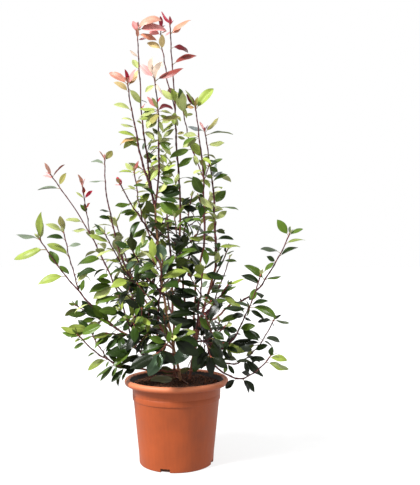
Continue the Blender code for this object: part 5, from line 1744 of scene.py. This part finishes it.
# Near-black colour of the pot's inside from just below the rim's top down, and where it fades in, against
# the rim's top
INNER_DARK_COLOUR = (0.009, 0.0045, 0.003)
INNER_DARK_FADE = (-0.002, 0.001)
PLASTIC_SPECULAR = 0.28


def arc(centre, radii, start, sweep, steps):
    """Points of an elliptical arc on a profile."""
    turns = [start + sweep * step / steps for step in range(steps + 1)]
    return [(centre[0] + radii[0] * math.cos(t), centre[1] + radii[1] * math.sin(t)) for t in turns]


def groove(low, high):
    """Points of the shallow groove round the collar, between two points of the collar's wall."""
    share = (GROOVE_HEIGHT - low[1]) / (high[1] - low[1])
    radius = low[0] + (high[0] - low[0]) * share
    return [
        (radius, GROOVE_HEIGHT - 2 * GROOVE_DEPTH),
        (radius - GROOVE_DEPTH, GROOVE_HEIGHT),
        (radius, GROOVE_HEIGHT + 2 * GROOVE_DEPTH),
    ]


def pot_profile():
    """Outline of the pot from the middle of its underside, over the rim, to the middle of its floor."""
    quarter = math.pi / 2
    bead_foot = POT_HEIGHT - BEAD_HEIGHT
    bead_centre = (RIM_RADIUS - BEAD_WIDTH / 2, POT_HEIGHT - BEAD_HEIGHT / 2)
    fillet, bevel = (FILLET, FILLET), (FOOT_BEVEL, FOOT_BEVEL)
    under_bead = arc((COLLAR_RADIUS + FILLET, bead_foot - FILLET), fillet, math.pi, -quarter, FILLET_STEPS)
    step_out = arc((COLLAR_RADIUS - WALL / 2 - FILLET, COLLAR_FOOT + 2 * FILLET),
                   fillet, -quarter, quarter, FILLET_STEPS)
    return [
        (0, 0),
        (FOOT_RADIUS - NOTCH_DEPTH, 0),
        *arc((FOOT_RADIUS - FOOT_BEVEL, FOOT_BEVEL), bevel, -quarter, quarter, BEVEL_STEPS),
        (HEEL_RADIUS, HEEL_HEIGHT),
        (WALL_TOP_RADIUS, COLLAR_FOOT),
        (WALL_TOP_RADIUS + FILLET / 4, COLLAR_FOOT + FILLET),
        *step_out,
        *groove(step_out[-1], under_bead[0]),
        *under_bead,
        *arc(bead_centre, (BEAD_WIDTH / 2, BEAD_HEIGHT / 2), BEAD_START, BEAD_SWEEP, BEAD_STEPS),
        (COLLAR_RADIUS - WALL, bead_foot - WALL),
        (WALL_TOP_RADIUS - WALL, COLLAR_FOOT),
        (HEEL_RADIUS - WALL, HEEL_HEIGHT),
        (FOOT_RADIUS - WALL, FLOOR),
        (0, FLOOR),
    ]


def turned(profile, sides):
    """Corners, quads and triangles of a solid turned about the Z axis, from a profile that ends there."""
    turns = np.arange(sides) * 2 * math.pi / sides
    rings = [
        np.stack([radius * np.cos(turns), radius * np.sin(turns), np.full(sides, height)], axis=-1)
        for radius, height in profile[1:-1]
    ]
    corners = np.concatenate([*rings, [(0, 0, profile[0][1])], [(0, 0, profile[-1][1])]])
    return corners, *ring_faces(len(rings), sides)


def notch_cutter():
    """An object of blocks that stand where the drain notches are cut out of the pot's foot."""
    corners, faces = [], []
    for number in range(NOTCH_COUNT):
        turn = Matrix.Rotation(NOTCH_TURN + 2 * math.pi * number / NOTCH_COUNT, 3, "Z")
        first = len(corners)
        for x in (-NOTCH_WIDTH / 2, NOTCH_WIDTH / 2):
            for y in (-FOOT_RADIUS - NOTCH_DEPTH, -FOOT_RADIUS + NOTCH_DEPTH / 2):
                for z in (-NOTCH_HEIGHT, NOTCH_HEIGHT):
                    corners.append(turn @ Vector((x, y, z)))
        faces += [tuple(first + corner for corner in face) for face in BOX_FACES]
    mesh = bpy.data.meshes.new("notch_cutter")
    mesh.from_pydata(corners, [], faces)
    return placed("notch_cutter", mesh)


def plastic_material(name, dark_inside):
    """Moulded terracotta plastic: mottling, flow lines and a painted highlight along the top of the rim,
    or for the inside the same with near-black below the rim.
    """
    made = Nodes(name, PLASTIC_SPECULAR)
    cloud = made.noise(made.places, 22, 4)
    grain = made.noise(made.places, 900, 2)
    stretched = made.drawn_out(0.06)
    flow = made.noise(stretched, 240, 2)
    tone = made.plus(made.times(cloud, 0.7), made.times(flow, 0.3))
    body = made.mix(made.spread(tone, 0.35, 0.65), scaled(POT_COLOUR, 0.90), scaled(POT_COLOUR, 1.10))
    scuffs = made.spread(made.noise(stretched, 520, 5, 0.7), 0.66, 0.78, 0, 0.35)
    marked = made.mix(scuffs, body, scaled(POT_COLOUR, 1.6))
    height = made.node("SeparateXYZ", {"Vector": made.places}).outputs["Z"]
    # Painted highlight: the top of the rim's bead turns paler, as if the key light caught it
    low, high = (POT_HEIGHT - share * BEAD_HEIGHT for share in HIGHLIGHT_SHARES)
    highlight_mask = made.spread(made.plus(height, made.times(cloud, 0.004)), low, high, 0, 0.8)
    highlighted = made.mix(highlight_mask, marked, RIM_HIGHLIGHT_COLOUR)
    if dark_inside:
        # The inside turns near-black from just below the rim's top down, with a ragged edge
        ragged = made.plus(height, made.times(made.noise(made.places, 160, 4), 0.006))
        low, high = (POT_HEIGHT + away for away in INNER_DARK_FADE)
        inner_dark_mask = made.spread(ragged, low, high, 1, 0)
        highlighted = made.mix(inner_dark_mask, highlighted, INNER_DARK_COLOUR)
    made.link(highlighted, "Base Color")
    made.link(made.spread(cloud, 0.3, 0.7, 0.46, 0.60), "Roughness")
    made.bump(made.plus(made.times(flow, 0.5), grain), 0.12, 0.0003)
    return made.material


def make_pot():
    """The tapering pot with its stepped collar, rolled rim and drain notches."""
    profile = pot_profile()
    rings = np.repeat(np.arange(1, len(profile) - 2), POT_SIDES)
    slots = (rings > len(profile) - INNER_RINGS).astype(int)
    batch = Batch()
    batch.add(*turned(profile, POT_SIDES), "pot", slots)
    plastics = (plastic_material("terracotta_plastic", False), plastic_material("stained_plastic", True))
    pot = batch.build("nursery_pot", plastics, POT_CREASE)
    cutter = notch_cutter()
    cut = pot.modifiers.new("drain_notches", "BOOLEAN")
    cut.operation = "DIFFERENCE"
    cut.object = cutter
    cut.solver = "EXACT"
    graph = bpy.context.evaluated_depsgraph_get()
    mesh = bpy.data.meshes.new_from_object(pot.evaluated_get(graph))
    pot.modifiers.clear()
    pot.data = mesh
    bpy.data.objects.remove(cutter)
    mesh.set_sharp_from_angle(angle=POT_CREASE)
    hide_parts("pot")


# Soil

SOIL_GAP = 0.0003
SOIL_EDGE_DROP = 0.003
SOIL_EDGE_WIDTH = 0.012
SOIL_RINGS = 48
SOIL_SIDES = 144
SOIL_SWELL = 0.0016
SOIL_SWELL_PITCH = 28
SOIL_ROUGHNESS = 0.0012
SOIL_GRAIN_PITCH = 190
SOIL_GRAIN_LAYER = 0.3
SOIL_GRAIN = (1.0, 2.0, 4)
MOUND_HEIGHT = 0.0022
MOUND_REACH = 0.011
CRUMBS = 1500
CRUMB_RADIUS = (0.0007, 0.0026)
CRUMB_SHRINK = (0.5, 1)
CRUMB_STRETCH = (0.7, 1.3)
CRUMB_FLATNESS = 0.8
CHIPS = 110
CHIP_LENGTH = (0.003, 0.007)
CHIP_BREADTH = (0.25, 0.5)
CHIP_FLATNESS = 0.18
LUMP_FINENESS = 2
LUMP_INSET = 0.003
LUMP_ROUGHNESS = 0.16
LUMP_SEAT = 0.25
LUMP_SPIN = (0, 6.3)
LUMP_LEAN = (-0.5, 0.5)

# The soil's top meets the pot's inner wall
SOIL_RISE = SOIL_LEVEL - SOIL_EDGE_DROP - COLLAR_FOOT
COLLAR_RISE = POT_HEIGHT - BEAD_HEIGHT - WALL - COLLAR_FOOT
COLLAR_OUT = (COLLAR_RADIUS - WALL_TOP_RADIUS) * (SOIL_RISE / COLLAR_RISE)
SOIL_RADIUS = WALL_TOP_RADIUS + COLLAR_OUT - WALL - SOIL_GAP


def soil_height(x, y):
    """Height of the uneven soil, which rises to the stems and drops a little at the pot's wall."""
    inside = SOIL_RADIUS - math.hypot(x, y)
    edge = SOIL_EDGE_DROP * max(0, 1 - inside / SOIL_EDGE_WIDTH)
    mounds = 0
    for limb in LIMBS:
        if limb.foot:
            away = math.hypot(x - limb.foot[0], y - limb.foot[2])
            mounds += MOUND_HEIGHT * math.exp(-((away / MOUND_REACH) ** 2))
    swell = SOIL_SWELL * noise.noise(Vector((x, y, 0)) * SOIL_SWELL_PITCH)
    grain = noise.fractal(Vector((x, y, SOIL_GRAIN_LAYER)) * SOIL_GRAIN_PITCH, *SOIL_GRAIN)
    rough = SOIL_ROUGHNESS * grain
    return SOIL_LEVEL - edge - SOIL_SWELL - SOIL_ROUGHNESS + mounds + swell + rough


def scattered(count, seed, radii_of):
    """A batch of lumps pressed into the soil, each roughened, stretched and turned."""
    draw = random.Random(seed)
    grain = np.random.default_rng(len(seed))
    unit, faces = lump(LUMP_FINENESS)
    batch = Batch()
    for _ in range(count):
        turn = draw.uniform(0, 2 * math.pi)
        away = (SOIL_RADIUS - LUMP_INSET) * math.sqrt(draw.random())
        x, y = away * math.cos(turn), away * math.sin(turn)
        radii = radii_of(draw)
        rough = unit * (1 + LUMP_ROUGHNESS * grain.standard_normal((len(unit), 1))) * radii
        spin = Matrix.Rotation(draw.uniform(*LUMP_SPIN), 3, "Z")
        lean = Matrix.Rotation(draw.uniform(*LUMP_LEAN), 3, "X")
        centre = (x, y, soil_height(x, y) + LUMP_SEAT * min(radii))
        batch.add(rough @ np.array(spin @ lean).T + centre, [], faces, "soil")
    return batch


def crumb_radii(draw):
    """Radii of one crumb."""
    size = draw.uniform(*CRUMB_RADIUS) * draw.uniform(*CRUMB_SHRINK)
    length, breadth = draw.uniform(*CRUMB_STRETCH), draw.uniform(*CRUMB_STRETCH)
    return np.array([size * length, size * breadth, size * CRUMB_FLATNESS])


def chip_radii(draw):
    """Radii of one flat chip of bark."""
    length = draw.uniform(*CHIP_LENGTH) / 2
    return np.array([length, length * draw.uniform(*CHIP_BREADTH), length * CHIP_FLATNESS])


# Dark and light colour of the peat and of bark in it, and how fine their grain is
PEATS = {
    "peat": ((0.020, 0.0080, 0.0045), (0.120, 0.047, 0.024), 260),
    "bark_chip": ((0.040, 0.016, 0.009), (0.150, 0.060, 0.030), 400),
}
PEAT_SPECULAR = 0.15


def peat_material(name):
    """Damp peat: near-black and red-brown in crumbs of a few millimetres."""
    made = Nodes(name, PEAT_SPECULAR)
    dark, light, scale = PEATS[name]
    grain = made.noise(made.places, scale, 6, 0.65)
    tone = made.plus(grain, made.spread(made.island(), 0, 1, -0.2, 0.2))
    made.link(made.mix(made.spread(tone, 0.35, 0.75), dark, light), "Base Color")
    made.link(made.spread(grain, 0.3, 0.7, 0.80, 0.98), "Roughness")
    made.bump(grain, 0.8, 0.0010)
    return made.material


def soil_body():
    """The block of soil in the pot, with its uneven top."""
    inset = WALL + SOIL_GAP
    rings = [(FOOT_RADIUS - inset, FLOOR + SOIL_GAP), (HEEL_RADIUS - inset, HEEL_HEIGHT),
             (WALL_TOP_RADIUS - inset, COLLAR_FOOT)]
    rings += [(SOIL_RADIUS * ring / SOIL_RINGS, SOIL_LEVEL) for ring in range(SOIL_RINGS, 0, -1)]
    corners, quads, triangles = turned([(0, FLOOR + SOIL_GAP), *rings, (0, SOIL_LEVEL)], SOIL_SIDES)
    for corner in corners:
        if corner[2] >= SOIL_LEVEL:
            corner[2] = soil_height(corner[0], corner[1])
    return corners, quads, triangles


# Old leaves in millimetres: foot and tip, across and up, then tint, facing and arch as for the others
FALLEN_LEAVES = (
    (0, 186, -38, 199, "olive", 55, 15), (0, 186, 30, 196, "olive", 60, 20),
    (-3, 176, -54, 165, "olive", 24, 15),
)
LITTER_FOOT = 0.176
LITTER_LEAN = 0.012
LITTER_RISE = 0.003
FALLEN_TWIG = ((-0.004, 0.034), (0.010, 0.002), (0.026, -0.034))
FALLEN_TWIG_RADIUS = 0.0014
SPROUT = ((0.019, 0.174, 0.030), (0.024, 0.199, 0.024), (0.030, 0.214, 0.020))
SPROUT_RADII = (0.0012, 0.0010, 0.0008)


def lie_on_soil(across, up):
    """The point of the soil's surface that shows at (across, up)."""
    reach = (EYE_HEIGHT - SOIL_LEVEL) / (EYE_HEIGHT - up)
    return place(across, up, (reach - 1) * VIEW_DISTANCE)


def litter():
    """Old leaves that lean and lie on the soil among the stems."""
    leaves = []
    for number, (*places, tint, face, arch) in enumerate(FALLEN_LEAVES):
        foot_across, foot_up, across, up = metres(places)
        lying = min(foot_up, LITTER_FOOT)
        origin = lie_on_soil(foot_across, lying) + UP * (foot_up - lying)
        tip = place(across, up, origin.y - LITTER_LEAN)
        if tip.z < SOIL_LEVEL + LITTER_RISE:
            tip = lie_on_soil(across, up) + UP * LITTER_RISE
        draw = random.Random(f"litter {number}")
        leaves.append(("soil", drawn_leaf(origin, tip, tint, face, arch, draw)))
    return leaves


def fallen_twigs():
    """A dry twig that lies on the soil, and a short bare sprout."""
    batch = Batch()
    twig = [Vector((x, y, soil_height(x, y) + FALLEN_TWIG_RADIUS)) for x, y in FALLEN_TWIG]
    batch.add(*tube(twig, tangents_along(twig), [FALLEN_TWIG_RADIUS] * len(twig), TWIG_SIDES), "soil")
    sprout = [place(*spot) for spot in SPROUT]
    rising = [(sprout[-1] - sprout[0]).normalized()] * len(sprout)
    batch.add(*tube(sprout, rising, SPROUT_RADII, TWIG_SIDES), "soil")
    return batch


def make_soil():
    """The soil with crumbs, bits of twig and bark chips on it."""
    peat, chip = peat_material("peat"), peat_material("bark_chip")
    body = Batch()
    body.add(*soil_body(), "soil")
    crumbs = scattered(CRUMBS, "crumbs", crumb_radii)
    chips = scattered(CHIPS, "bark chips", chip_radii)
    for name, batch, material, crease in (
        ("soil_body", body, peat, math.pi),
        ("soil_crumbs", crumbs, peat, math.pi),
        ("soil_twigs", fallen_twigs(), bark_material("dry_twig"), WOOD_CREASE),
        ("soil_chips", chips, chip, math.pi),
    ):
        batch.show(name, (material,), crease, "potting_soil")


add_camera()
add_stage()
make_pot()
plant()
make_soil()
